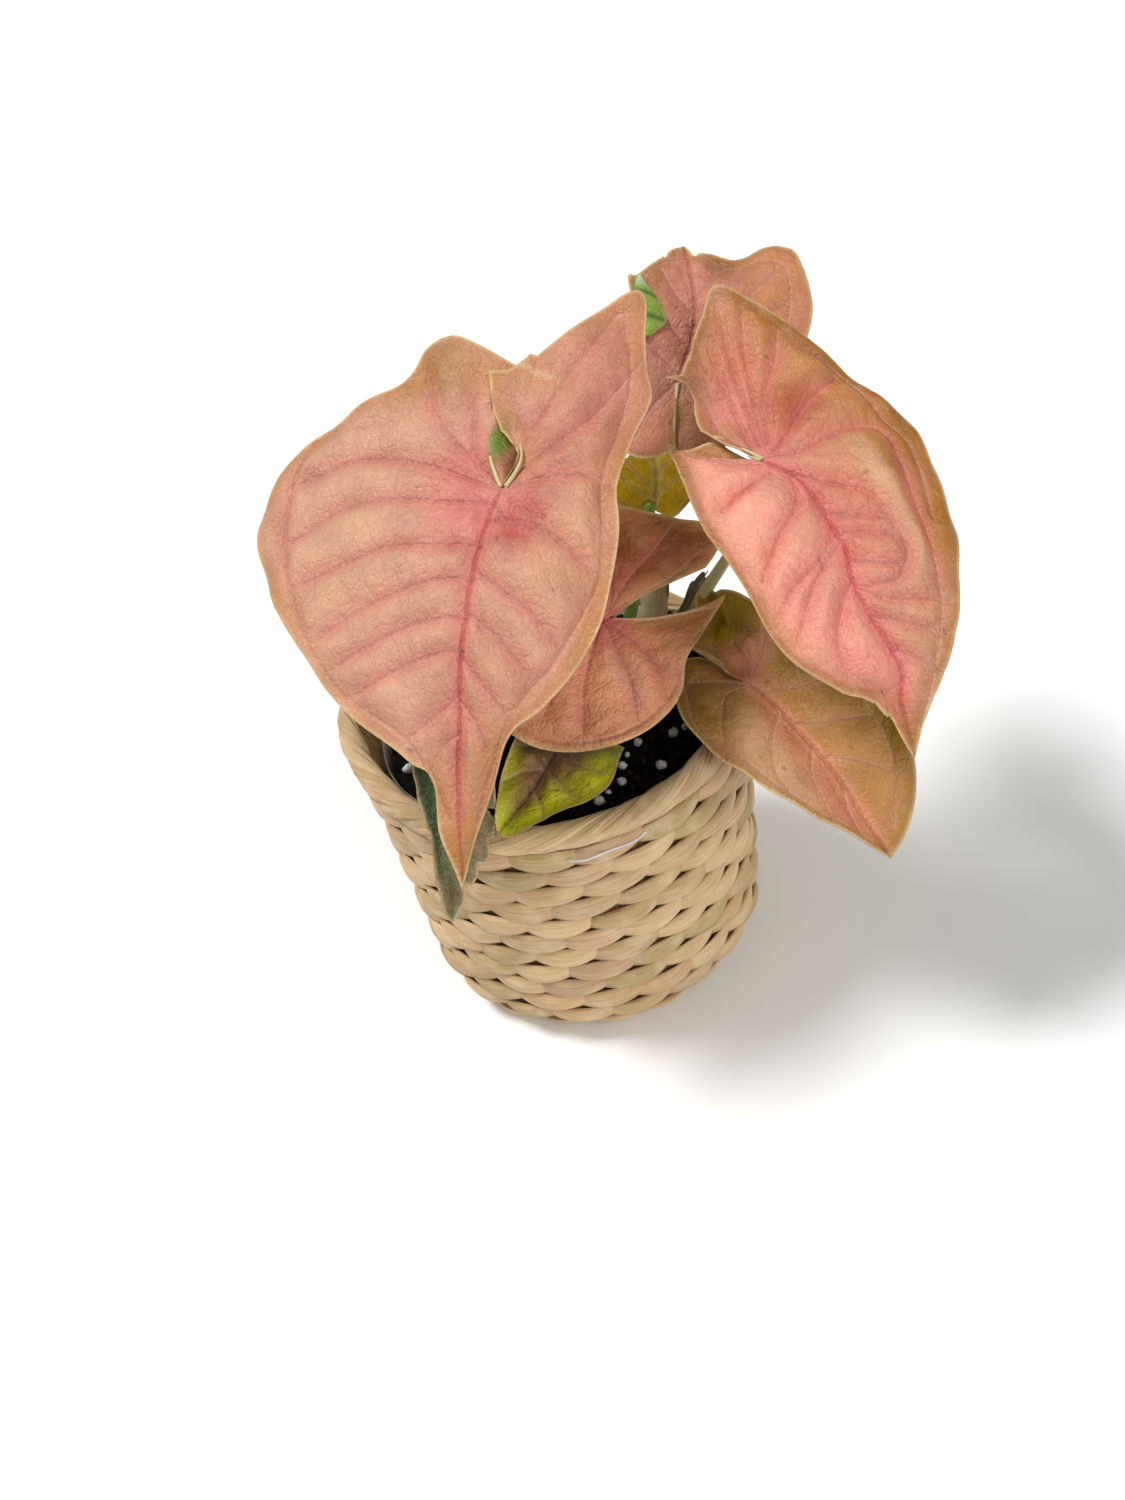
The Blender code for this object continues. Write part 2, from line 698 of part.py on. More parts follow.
def make_sheath(name, made, collection):
    """A dry open sheath that clasps the lower part of a stalk without touching it."""
    leaf_name, top, opening = SHEATHS[name]
    leaf = LEAVES[leaf_name]
    shape = bmesh.new()
    bmesh.ops.create_grid(shape, x_segments=SHEATH_GRID[0], y_segments=SHEATH_GRID[1], size=1.0)
    points = np.array([vertex.co for vertex in shape.verts])
    climb = 0.5 + 0.5 * points[:, 1]
    path = stalk_points(leaf)
    bottom = SOIL_TOP + SHEATH_LIFT
    centre = points_at(path, bottom + (top - bottom) * climb)
    ahead = points_at(path, bottom + (top - bottom) * climb + 1) - centre
    ahead /= np.linalg.norm(ahead, axis=1)[:, None]
    side = np.cross(ahead, [0.0, 1.0, 0.0])
    side /= np.linalg.norm(side, axis=1)[:, None]
    front = np.cross(side, ahead)
    narrow = 1 - SHEATH_NARROWING * climb**2
    turn = opening + math.pi + points[:, 0] * SHEATH_SPREAD / 2 * narrow
    radius = PETIOLE_BASE + SHEATH_CLEARANCE + BLADE_THICKNESS
    radius = radius + SHEATH_BELLY * climb * (1 - climb)
    ring = side * np.cos(turn)[:, None] + front * np.sin(turn)[:, None]
    for vertex, place in zip(shape.verts, (centre + ring * radius[:, None]) * MM):
        vertex.co = place
    bmesh.ops.triangulate(shape, faces=shape.faces)
    mesh = bpy.data.meshes.new(name)
    shape.to_mesh(mesh)
    shape.free()
    mesh.shade_smooth()
    sheath = add_object(name, mesh, made, collection)
    solidify(sheath, BLADE_THICKNESS)
    return sheath


def make_materials():
    made = {name: material(name, colour, 0.6) for name, colour in COLOURS.items()}
    made["liner"] = material("liner_film", COLOURS["liner"], 0.2, 0.5)
    return made


def main():
    clear_scene()
    plant = new_collection("arrowhead_plant")
    cutters = new_collection("cutters")
    made = make_materials()
    make_wall(made["straw"], plant)
    make_rim(made["straw"], plant)
    make_liner(made["liner"], plant)
    make_soil(made["soil"], plant, cutters)
    for name, leaf in LEAVES.items():
        make_blade(name, leaf, made[BLADE_COLOURS[name]], plant)
        make_stalk(name, leaf, made["stalk"], plant)
    for name in SHEATHS:
        make_sheath(name, made["sheath"], plant)


main()
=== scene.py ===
"""Looks of an arrowhead plant that grows in a small woven basket.

Places and sizes are millimetres until a mesh is written, and the frame's are metres.
Colours are display values from 0 to 255 and are turned to linear light where they are used.
"""

import math

import bmesh
import bpy
import numpy as np
from mathutils import Matrix, Vector
from mathutils.kdtree import KDTree


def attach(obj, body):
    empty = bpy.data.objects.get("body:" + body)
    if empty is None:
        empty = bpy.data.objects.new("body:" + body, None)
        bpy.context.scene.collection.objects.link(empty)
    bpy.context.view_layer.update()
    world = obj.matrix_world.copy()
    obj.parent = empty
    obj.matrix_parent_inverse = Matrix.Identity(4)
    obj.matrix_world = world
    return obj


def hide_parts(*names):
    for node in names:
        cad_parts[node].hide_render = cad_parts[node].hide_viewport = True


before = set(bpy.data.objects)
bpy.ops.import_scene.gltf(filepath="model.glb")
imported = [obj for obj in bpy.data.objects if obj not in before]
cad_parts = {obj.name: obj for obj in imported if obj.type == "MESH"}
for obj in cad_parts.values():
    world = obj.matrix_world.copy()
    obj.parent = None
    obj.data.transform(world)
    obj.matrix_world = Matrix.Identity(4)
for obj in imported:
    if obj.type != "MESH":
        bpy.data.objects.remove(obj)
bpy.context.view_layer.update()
MM = 0.001

# Camera: the photograph looks down on the plant, with the picture turned a little
CAMERA_AIM = (0.0005, 0.0, 0.0631)
CAMERA_RISE = math.radians(41.5)
CAMERA_AWAY = 0.421
CAMERA_ROLL = math.radians(-13.55)
CAMERA_LENS = 38.4
SENSOR = 36.0

# Basket, the same main sizes as the solids
BASKET_HEIGHT = 82.0
RIM_RADIUS = 49.4
BASE_RADIUS = 44.8
BASE_CORNER = 12.0
WALL_THICKNESS = 4.0
RIM_ROUND = 3.0
WEAVE_ROWS = 12
WEAVE_TOP = 75.7
STROKES_PER_ROW = 18
BULGE_ANGLE = math.radians(158)
BULGE_WIDTH = 0.45
BULGE_DEPTH = 6.0
BULGE_START = 55.0
LINER_TOP = 79.5
LINER_RADIUS = 44.5
SOIL_TOP = 74.5
SOIL_RADIUS = 43.2
SOIL_BOTTOM = 5.3
SOIL_BUMP = 0.9

# Leaf forms, the same as the solids
LOBE_SPAN = 40.0
MIDRIB_DEPTH = 0.8
MIDRIB_WIDTH = 2.4
MIDRIB_START = 6.0
BLADE_THICKNESS = 0.7
FOLD_ROUND = 1.5
FOLD_SOFT = 5.0
SEAT_GAP = 0.2
HOLE_DEPTH = 8.7
STEM_RISE = 10.0
STALK_STATIONS = 70
STALK_SIDES = 18
TUBE_START = (0.3, 0.9, 0.2)
BARE_RIB = {"radius": 0.55, "taper": 0.33, "lift": 0.15, "drop": 0.5, "sides": 10}
PETIOLE_NECK = 1.5
PETIOLE_SEAT = 1.8
PETIOLE_BASE = 1.9
PETIOLE_TOP = 1.1

# Grids, veins and margins of the blades
NOWHERE = 99.0
INNERMOST_RING = 0.006
RAY_EVENNESS = 18
NOTCH_START = 6.0
NOTCH_GRIP = 7
OVERLAP_START = 0.86
OVERLAP_RISE = 9
TUCK_TURN = 4.0
TUCK_RISE = 5
ROLL_EDGE = 0.3
DOT_STEP = 0.35
CROSS_VEIN_STEP = 3.6
CROSS_VEIN_REACH = (3.0, 14)
UNDER_SHIFT = 300
OUTLINE_STEPS = 721
JOINT_CALM = 9
MARGIN_REACH = 9
RUFFLE = 0.6
VEIN_VALLEY = 2.8
CROSS_VALLEY = 1.3
SPECKS = 14
VEIN_KINDS = ("rib", "side", "cross")
RIB, SIDE, CROSS = range(3)

# Where each leaf stands and how it bends, the same as the solids. `joint` and `tip` are the
# midrib's ends, `face` is the way its upper side looks and `arch` its rise in the middle.
# `fold`, `curl` and `lobe` are degrees for the left and the right half, and `width` is where
# the full curl is reached. `ripple` is the margin's wave: height, number and phase. The stalk
# stands in the mix at `foot`, and `out` and `elbow` pull its curve at the foot and the joint.
LEAVES = {
    "leaf_front_left": {
        "joint": (1.4, -4.6, 148.4),
        "tip": (-27.9, -66.2, 90.8),
        "face": (-0.32, -0.60, 0.74),
        "arch": 8,
        "fold": (4, 2),
        "curl": (-14, -62),
        "width": 45,
        "lobe": (18, 10),
        "ripple": (1.2, 5, 20),
        "foot": (0, 1),
        "out": (-2, 6, 38),
        "elbow": (4, 7, -20),
    },
    "leaf_front_right": {
        "joint": (60.7, -3.0, 138.2),
        "tip": (74.8, -67.0, 96.0),
        "face": (0.02, -0.60, 0.80),
        "arch": 8,
        "fold": (12, 8),
        "curl": (-50, -35),
        "width": 40,
        "lobe": (20, 25),
        "ripple": (1.3, 5, 70),
        "foot": (27, 7),
        "out": (13, 3, 32),
        "elbow": (6, 11, -19),
    },
    "leaf_back": {
        "joint": (49.4, 33.2, 142.8),
        "tip": (61.3, 71.4, 158.9),
        "face": (-0.05, -0.62, 0.78),
        "arch": 3,
        "fold": (14, 10),
        "curl": (-20, -20),
        "width": 35,
        "lobe": (-20, -20),
        "ripple": (1.2, 7, 10),
        "foot": (24, 15),
        "out": (14, 6, 30),
        "elbow": (-3, 4, -18),
    },
    "leaf_middle": {
        "joint": (19.3, -8.2, 108.2),
        "tip": (-19.1, -21.7, 108.0),
        "face": (0.12, -0.66, 0.74),
        "arch": 0.5,
        "fold": (12, 10),
        "curl": (-10, -12),
        "width": 35,
        "lobe": (20, 20),
        "ripple": (1.0, 5, 120),
        "foot": (9, 6),
        "out": (2, 4, 20),
        "elbow": (-2, 7, -12),
    },
    "leaf_low_right": {
        "joint": (47.9, -22.0, 89.6),
        "tip": (67.6, -71.0, 70.4),
        "face": (0.10, -0.66, 0.74),
        "arch": 5,
        "fold": (10, 10),
        "curl": (-20, -20),
        "width": 35,
        "lobe": (10, 0),
        "ripple": (1.0, 5, 200),
        "foot": (23, -4),
        "out": (3, -1, 15),
        "elbow": (-12, 5, -4),
    },
    "leaf_rim": {
        "joint": (0.4, -25.6, 88.0),
        "tip": (-18.5, -52.8, 89.4),
        "face": (0.1, -0.5, 0.85),
        "arch": 3,
        "fold": (10, 16),
        "curl": (10, 20),
        "width": 25,
        "lobe": (0, 0),
        "ripple": (0.8, 5, 40),
        "foot": (4, -9),
        "out": (0, -2, 14),
        "elbow": (2, 9, -5),
    },
    "leaf_hanging": {
        "joint": (-28.8, -35.6, 98.3),
        "tip": (-34.3, -52.2, 66.0),
        "face": (-0.15, -0.8, 0.5),
        "arch": 5,
        "fold": (30, 15),
        "curl": (-10, -10),
        "width": 20,
        "lobe": (0, 0),
        "ripple": (0.8, 6, 90),
        "foot": (-8, -4),
        "out": (-3, -3, 26),
        "elbow": (7, 10, -3),
    },
    "leaf_turned": {
        "joint": (37.3, 24.5, 113.5),
        "tip": (29.0, 23.5, 132.6),
        "face": (-0.1, 0.85, 0.5),
        "arch": 2,
        "fold": (10, 10),
        "curl": (-30, -30),
        "width": 18,
        "lobe": (0, 0),
        "ripple": (0.6, 5, 60),
        "foot": (16, 7),
        "out": (6, 6, 24),
        "elbow": (-1, -3, -15),
    },
}

# How each blade looks, in flat leaf coordinates of (along the midrib, to the right).
# `grid` is rays and rings. `left` and `right` are outlines: (degrees from the tip, distance
# from the joint). `notch` gives the direction of both edges between the lobes at distances
# from the joint, and `overlap` how far each edge is lifted there. `tuck` drops the margin of
# one side from an angle on, and `bare` are ribs that run free of the blade. `midrib` and
# `veins` are lines in the blade. `puff` is how far it swells between side veins and between
# cross veins, and `ruffle` how wavy the margin is. `inner`, `edge`, `rib`, `vein` and `under`
# are colours, `band` is how much the side veins colour the blade, and `edge_width` how far
# the margin's colour reaches in. `patches` are soft spots: (along, across, half length, half
# width, colour, strength). `rolls` bend the margin: (side, degrees from the tip, degrees
# wide, depth, turn, length of the bend), and `nicks` are torn bits: (side, degrees from the
# tip, degrees wide, depth).
LOOKS = {
    "leaf_front_left": {
        "grid": (340, 108),
        "left": [(0, 91), (3.4, 80), (5, 72), (6.5, 68), (11, 66), (16, 64), (28, 62), (36, 61),
                 (46, 59.5), (64, 61.5), (78, 65.5), (91, 68), (99, 66), (104, 61.5), (110, 55),
                 (117, 51), (128, 42.5), (136, 43), (142, 45.5), (150, 45), (155, 41), (162, 36),
                 (170, 32), (180, 30)],
        "right": [(0, 91), (3, 79), (5.6, 71.5), (9, 61), (18, 54), (27, 49), (45, 40), (68, 31),
                  (98, 26), (115, 29), (127, 35), (135, 42), (143, 45.5), (150, 50.5), (157, 58.5),
                  (163, 50), (169, 43), (175, 38), (187, 32), (198, 32)],
        "notch": ([(0, 180), (3, 196), (12, 192), (30, 190)],
                  [(0, 165), (4, 166), (9, 170), (12, 184), (15, 194), (21, 199), (32, 198)]),
        "overlap": (-2.6, 1.0),
        "bare": ([(0, -0.6), (-4, -3), (-8, -5), (-13, -6), (-19, -6.5)],
                 [(0, 0.6), (-4, 2), (-8, 2.5), (-12, 1.4)]),
        "midrib": [(0, 0), (5, -2), (12, -3), (22, -3.5), (39, -3), (59, -2), (89, 0)],
        "veins": [
            [(2, -1), (-4, -4), (-12, -15), (-22, -23), (-31, -26)],
            [(-8, -9), (-20, -12), (-30, -13)],
            [(1, -1), (-4, -13), (-8, -28), (-9, -42), (-5, -57)],
            [(4, -2), (3, -15), (3, -30), (5, -43), (12, -55)],
            [(14, -3), (14, -14), (15, -25), (18, -34), (25, -50)],
            [(22, -3), (23, -12), (26, -21), (30, -30), (39, -42)],
            [(31, -3), (32, -10), (35, -20), (44, -35)],
            [(39, -3), (40, -9), (44, -19), (51, -30)],
            [(48, -2), (52, -6), (60, -15)],
            [(57, -2), (61, -6), (68, -9)],
            [(0, 1), (-9, 2), (-20, 5), (-32, 10), (-47, 18)],
            [(-5, 2), (-12, 9), (-22, 17), (-36, 25)],
            [(-14, 3), (-22, -2), (-29, -6)],
            [(2, 1), (5, 5), (6, 11)],
            [(5, -1), (9, 4), (9, 10)],
            [(-9, 2), (-17, -3), (-22, -7)],
            [(1, 1), (-3, 7), (-6, 18), (-5, 24)],
            [(8, -2), (8, 8), (12, 17), (17, 25)],
            [(20, -3), (25, 5), (30, 13), (37, 20)],
            [(30, -3), (34, 3), (40, 10), (46, 15)],
            [(40, -3), (45, 2), (53, 10)],
            [(50, -2), (56, 3), (65, 7)],
            [(-31, -26), (-16, -56), (0, -60), (17, -54), (33, -46), (49, -33), (60, -14), (76, -3)],
            [(-47, 20), (-30, 24), (-8, 22), (9, 25), (20, 26), (39, 19), (48, 13), (60, 8), (76, 4)],
        ],
        "puff": (1.8, 0.3),
        "inner": (202, 149, 124),
        "edge": (178, 118, 60),
        "edge_width": 5.0,
        "rib": (212, 118, 112),
        "vein": (200, 116, 106),
        "band": 0.5,
        "under": (150, 152, 70),
        "slot": "pink_leaf",
        "patches": [
            (-36, -24, 15, 12, (160, 114, 62), 1.0),
            (2, -8, 15, 13, (206, 106, 102), 0.7),
            (8, 6, 9, 7, (178, 66, 62), 1.0),
            (-6, 6, 10, 9, (196, 108, 100), 0.6),
            (-30, 18, 26, 15, (186, 118, 96), 0.9),
            (38, 10, 22, 10, (192, 140, 112), 0.6),
            (14, 18, 16, 9, (200, 144, 112), 0.6),
            (18, -38, 28, 20, (202, 152, 120), 0.5),
            (58, 0, 24, 12, (182, 126, 96), 0.8),
            (86, 0, 11, 4, (156, 120, 20), 1.0),
            (-12.5, -3.4, 5.5, 2.2, (60, 120, 22), 1.0),
            (-12.5, -3.4, 5.5, 2.2, (60, 120, 22), 1.0),
            # Partly painted shade: the brown spot behind the joint stands for the shaded surface in the
            # gap between the lobes.
            (-6, 0, 4, 2.6, (128, 74, 52), 1.0),
        ],
        "rolls": [(1, 60, 40, 4.0, 34, 1.2), (1, 8, 12, 2.6, 30, 1.0), (-1, 10, 14, 2.2, 24, 1.0)],
    },
    "leaf_front_right": {
        "grid": (310, 98),
        "left": [(0, 78), (2, 68), (9, 60), (20, 50), (33, 34), (62, 23), (98, 19), (120, 20.5),
                 (130, 22), (136, 17.5), (150, 13.5), (158, 12)],
        "right": [(0, 78), (3, 73), (14, 64), (30, 54), (57, 42), (76, 38), (98, 39),
                  (131, 39), (148, 43), (160, 48), (168, 51), (173, 45), (183, 37), (190, 34),
                  (196, 35)],
        "tuck": (-1, 129, 2.0),
        "notch": ([(0, 158), (21, 158)],
                  [(0, 200), (4, 205), (10, 212), (17, 211), (25, 194), (31, 190), (35, 196)]),
        "overlap": (0.0, 0.6),
        "bare": ([(0, -0.3), (-3, -2)], [(0, 0.3), (-3, -0.8), (-6, -2.2)]),
        "ruffle": 0.3,
        "midrib": [(0, 0), (7, 5), (14, 6), (23, 6), (30, 6), (37, 4), (45, 4), (59, 5), (66, 2),
                   (78, 0)],
        "veins": [
            [(7, 4), (14, 2), (20, -5), (29, -14)],
            [(25, 6), (30, -1), (34, -9), (40, -16)],
            [(28, 5), (33, -2), (39, -8), (46, -14)],
            [(37, 4), (41, 0), (49, -5), (60, -7)],
            [(1, -1), (-3, -6), (-8, -10), (-11, -14)],
            [(4, 0), (6, -8), (9, -14)],
            [(6, 5), (11, 9), (15, 14), (19, 18), (27, 19), (34, 19), (38, 17), (41, 13), (40, 7)],
            [(20, 7), (23, 12), (26, 18)],
            [(26, 7), (28, 12), (31, 18)],
            [(33, 6), (36, 11), (38, 16)],
            [(40, 5), (44, 9), (47, 15), (50, 22)],
            [(47, 5), (52, 12), (56, 18)],
            [(55, 5), (60, 10), (64, 13)],
            [(0, 2), (1, 9), (0, 18), (0, 27), (4, 30), (12, 29), (23, 27), (35, 25), (50, 20),
             (62, 12), (72, 4)],
            [(-4, 0), (-16, 1), (-28, 2), (-43, 5)],
            [(-5, 2), (-18, 4), (-33, 7), (-46, 10)],
            [(-6, 3), (-20, 7), (-33, 11), (-42, 15)],
            [(-5, 4), (-12, 6), (-19, 10), (-26, 16), (-33, 20)],
            [(-1, 3), (-6, 10), (-12, 18), (-17, 28)],
            [(-4, 0), (-12, -4), (-24, -4), (-32, -5)],
            [(-43, 17), (-30, 23), (-14, 32), (0, 33), (12, 33), (30, 29)],
        ],
        "puff": (2.1, 0.5),
        "inner": (208, 142, 120),
        "edge": (148, 94, 14),
        "edge_width": 4.6,
        "rib": (214, 112, 110),
        "vein": (206, 108, 102),
        "band": 0.5,
        "under": (160, 150, 52),
        "slot": "pink_leaf",
        "patches": [
            # Partly painted light: the left half is painted a brighter pink, its own colour lifted where
            # it faces the light.
            (24, -15, 52, 11, (246, 164, 142), 1.0),
            (28, -6, 24, 6, (226, 150, 132), 0.6),
            (60, -3, 20, 7, (220, 136, 122), 0.9),
            (22, 9, 22, 10, (202, 124, 102), 0.8),
            (20, 33, 46, 15, (154, 98, 8), 1.0),
            (24, 21, 22, 3, (206, 164, 130), 0.7),
            (52, 13, 14, 7, (196, 146, 112), 0.8),
            (-26, 16, 24, 20, (186, 122, 74), 0.9),
            (-36, 24, 20, 8, (164, 110, 32), 1.0),
            (-20, 34, 20, 9, (166, 110, 38), 1.0),
            (-20, -2, 13, 6, (208, 130, 114), 0.8),
            (-11, 14, 8, 7, (170, 88, 50), 1.0),
            (-3, 2, 7, 6, (206, 104, 104), 0.8),
            (-51, 12, 4, 4, (226, 190, 170), 0.9),
            (74, 3, 6, 4, (184, 140, 80), 0.8),
        ],
        "rolls": [(1, 120, 60, 3.0, -40, 3.0), (-1, 60, 60, 2.5, -40, 2.5)],
        "nicks": [(-1, 1.4, 0.6, 2.4), (-1, 3.2, 0.6, 0.8)],
    },
    "leaf_back": {
        "grid": (230, 74),
        "left": [(0, 42), (4, 39.5), (9, 39), (15, 38.5), (21, 38.5), (26, 40), (31, 45), (36, 46.5),
                 (44, 43), (52, 40.5), (60, 38), (72, 33), (90, 26), (130, 21), (152, 21), (166, 20),
                 (178, 17)],
        "right": [(0, 42), (4, 40), (10, 36), (18, 32.5), (22, 31.5), (25, 32.5), (28.5, 27), (40, 23),
                  (55, 20), (90, 17), (130, 21), (152, 22), (166, 20), (178, 17)],
        "notch": ([(0, 183), (17, 186)], [(0, 176), (17, 180)]),
        "overlap": (-0.5, 0.3),
        "bare": ([(-1, 0), (-6, 0.4), (-12, 0.6), (-18, 0.4)],),
        "midrib": [(0, 0), (13, -3), (25, -3), (42, 0)],
        "veins": [
            [(2, -1), (8, -9), (14, -18), (20, -27)],
            [(8, -2), (14, -9), (22, -17), (30, -24)],
            [(15, -3), (22, -9), (32, -16)],
            [(23, -3), (29, -7), (34, -10)],
            [(2, 0), (7, 6), (10, 13)],
            [(10, -2), (16, 4), (22, 9)],
            [(19, -3), (25, 2), (33, 6)],
            [(0, 0), (-8, 7), (-14, 10)],
            [(0, 0), (-8, -7), (-14, -10)],
            [(6, -24), (20, -27), (32, -24), (32, -12), (38, -2), (32, 8), (20, 12), (6, 12)],
        ],
        "puff": (0.8, 0.2),
        "inner": (184, 116, 90),
        "edge": (160, 114, 54),
        "edge_width": 1.6,
        "rib": (204, 136, 116),
        "vein": (176, 106, 92),
        "band": 0.35,
        "under": (118, 156, 76),
        "slot": "pink_leaf",
        "patches": [
            (36, -9, 7, 10, (126, 80, 4), 1.0),
            (24, -22, 20, 9, (186, 124, 78), 0.9),
            (26, -2, 16, 5, (200, 126, 108), 0.7),
            (28, 8, 8, 6, (156, 104, 64), 1.0),
            (2, 8, 10, 8, (156, 102, 88), 0.8),
            (10, -7, 7, 4, (150, 104, 60), 0.8),
            (-10, -8, 9, 8, (166, 118, 78), 0.8),
        ],
        "nicks": [(-1, 4.0, 1.5, 1.6), (1, 7, 1.2, 1.2)],
    },
    "leaf_middle": {
        "grid": (240, 76),
        "left": [(0, 41), (8, 36), (20, 27), (42, 18), (70, 17), (95, 22), (115, 27),
                 (138, 28), (152, 30), (165, 34), (173, 33), (179, 27)],
        "right": [(0, 41), (12, 39), (30, 38), (52, 34), (80, 29), (105, 25), (122, 21),
                  (140, 22), (155, 25), (165, 29)],
        "notch": ([(0, 174), (8, 172), (16, 176), (28, 179)], [(0, 148), (6, 154), (18, 158), (29, 165)]),
        "midrib": [(0, 0), (20, 0), (41, 0)],
        "veins": [
            [(0, -1), (-9, -2), (-18, -2), (-27, -4)],
            [(-1, -2), (-10, -7), (-18, -10), (-24, -13)],
            [(-1, -2), (-6, -10), (-10, -20)],
            [(4, 0), (3, -9), (4, -16)],
            [(12, 0), (14, -8), (18, -13)],
            [(0, 1), (-9, 5), (-19, 8), (-26, 10)],
            [(1, 1), (-2, 8), (-4, 16), (-2, 23)],
            [(2, 1), (3, 8), (4, 16), (7, 25)],
            [(3, 0), (9, 6), (15, 13), (20, 22)],
            [(10, 0), (17, 6), (26, 14)],
            [(20, 0), (27, 4), (34, 8)],
            [(-24, 11), (-14, 15), (-6, 22), (4, 26), (16, 26), (28, 20), (36, 8)],
        ],
        "puff": (0.9, 0.2),
        "inner": (190, 122, 86),
        "edge": (208, 146, 96),
        "edge_width": 2.6,
        "rib": (190, 84, 80),
        "vein": (188, 84, 76),
        "band": 0.45,
        "under": (140, 132, 40),
        "slot": "tan_leaf",
        "patches": [
            (-16, -14, 26, 16, (138, 74, 6), 1.0),
            (-3, -6, 9, 6, (176, 80, 62), 0.7),
            (4, 12, 20, 15, (236, 158, 120), 1.0),
            (1, 3, 8, 6, (196, 88, 82), 0.8),
            (4, 14, 3, 8, (222, 176, 146), 0.5),
            (-18, 9, 12, 7, (178, 112, 62), 0.9),
        ],
        "rolls": [(1, 60, 50, 2.0, -30, 2.0)],
    },
    "leaf_low_right": {
        "grid": (240, 76),
        "left": [(0, 56), (3, 51), (9, 44), (24, 33), (40, 26), (62, 21), (84, 19),
                 (110, 18), (140, 19), (154, 16), (162, 9)],
        "right": [(0, 56), (3, 55), (10, 52), (23, 45), (40, 33), (66, 22), (95, 17), (120, 19),
                  (140, 25), (156, 30), (168, 33), (176, 26), (188, 22), (200, 20)],
        "notch": ([(0, 160), (5, 168), (20, 178)], [(0, 196), (4, 204), (8, 198), (20, 198)]),
        "overlap": (-1.2, 1.2),
        "midrib": [(0, 0), (10, 1), (30, 1), (56, 0)],
        "veins": [
            [(1, -1), (0, -6), (5, -11), (15, -17)],
            [(12, 0), (18, -6), (25, -10), (33, -11)],
            [(24, 1), (31, -4), (40, -6)],
            [(36, 1), (42, -2), (48, -3)],
            [(0, -1), (-5, -5), (-10, -11)],
            [(5, 1), (9, 7), (12, 15)],
            [(16, 1), (22, 8), (27, 17)],
            [(28, 1), (34, 7), (40, 12)],
            [(-1, 1), (-8, 4), (-14, 5)],
            [(0, 1), (-6, 8), (-10, 14)],
            [(-12, -11), (4, -17), (20, -14), (34, -10), (50, -2)],
            [(-14, 10), (0, 16), (20, 18), (36, 15), (50, 5)],
        ],
        "puff": (0.7, 0.2),
        "inner": (168, 114, 58),
        "edge": (130, 98, 8),
        "edge_width": 1.8,
        "rib": (212, 142, 112),
        "vein": (190, 132, 92),
        "band": 0.3,
        "under": (124, 116, 20),
        "slot": "tan_leaf",
        "patches": [
            (32, -3, 26, 3.5, (172, 96, 72), 0.95),
            (20, -9, 20, 6, (186, 146, 116), 0.7),
            (-9, 5, 9, 8, (226, 150, 126), 1.0),
            (-3, 1, 4, 4, (166, 80, 72), 0.8),
            (-4, -12, 14, 8, (146, 104, 8), 1.0),
            (-22, 8, 8, 12, (170, 140, 6), 1.0),
            (-24, 8, 8, 12, (170, 140, 6), 1.0),
            (6, 13, 14, 9, (124, 88, 4), 1.0),
            (34, 12, 18, 7, (178, 130, 70), 0.8),
            (30, 20, 26, 5, (148, 112, 26), 1.0),
        ],
        "rolls": [(1, 162, 26, 11.0, 45, 1.6)],
        "nicks": [(1, 178, 3, 2.5), (1, 160, 2.5, 1.5)],
    },
    "leaf_rim": {
        "grid": (170, 64),
        "left": [(0, 33), (5, 30), (14, 23), (30, 16), (60, 11), (100, 9), (140, 10),
                 (150, 8)],
        "right": [(0, 33), (5, 33), (15, 28), (26, 25), (40, 24), (55, 22), (70, 19),
                  (95, 16), (130, 14), (150, 8)],
        "midrib": [(0, 0), (16, 1), (33, 0)],
        "veins": [
            [(2, 0), (6, 5), (8, 13)],
            [(9, 0), (14, 6), (17, 12)],
            [(17, 1), (22, 5), (26, 8)],
            [(3, 0), (6, -4), (9, -7)],
            [(12, 0), (16, -3), (20, -5)],
            [(0, 1), (-4, 8), (-5, 12)],
        ],
        "puff": (1.1, 0.4),
        "inner": (122, 84, 44),
        "edge": (200, 204, 14),
        "edge_width": 3.6,
        "rib": (118, 92, 66),
        "vein": (92, 74, 40),
        "band": 0.1,
        "under": (150, 164, 62),
        "slot": "green_leaf",
        "patches": [
            (8, 3, 16, 8, (128, 84, 48), 0.9),
            (6, 14, 14, 5, (206, 212, 10), 1.0),
            (25, 8, 12, 5.5, (206, 210, 10), 1.0),
            (30, 1, 5, 5, (170, 176, 34), 0.9),
        ],
        "rolls": [(1, 50, 50, 3.0, 45, 3.0)],
    },
    "leaf_hanging": {
        "grid": (170, 70),
        "left": [(0, 39), (3, 34), (6, 20), (14, 13), (35, 8), (80, 6), (130, 6),
                 (155, 5)],
        "right": [(0, 39), (4, 35), (15, 28), (28, 24), (43, 20), (65, 16), (100, 11), (130, 7),
                  (155, 5)],
        "midrib": [(0, 0), (18, 1), (39, 0)],
        "veins": [
            [(2, 0), (4, -3), (7, -5)],
            [(7, 0), (10, -3), (14, -3)],
            [(14, 1), (18, -1), (22, -2)],
            [(3, 0), (8, 5), (10, 12)],
            [(10, 1), (16, 5), (20, 10)],
            [(18, 1), (24, 4), (28, 6)],
        ],
        "puff": (0.9, 0.5),
        "inner": (34, 66, 2),
        "edge": (104, 118, 62),
        "edge_width": 0.7,
        "rib": (110, 140, 70),
        "vein": (96, 134, 66),
        "band": 0.2,
        "under": (112, 118, 66),
        "slot": "green_leaf",
        "patches": [
            (22, 10, 26, 8.5, (140, 108, 74), 1.0),
            (31, 0, 5, 6, (128, 98, 64), 0.9),
            (38, 0, 3, 3, (84, 106, 40), 0.9),
        ],
        "rolls": [(1, 40, 40, 4.0, -60, 3.0)],
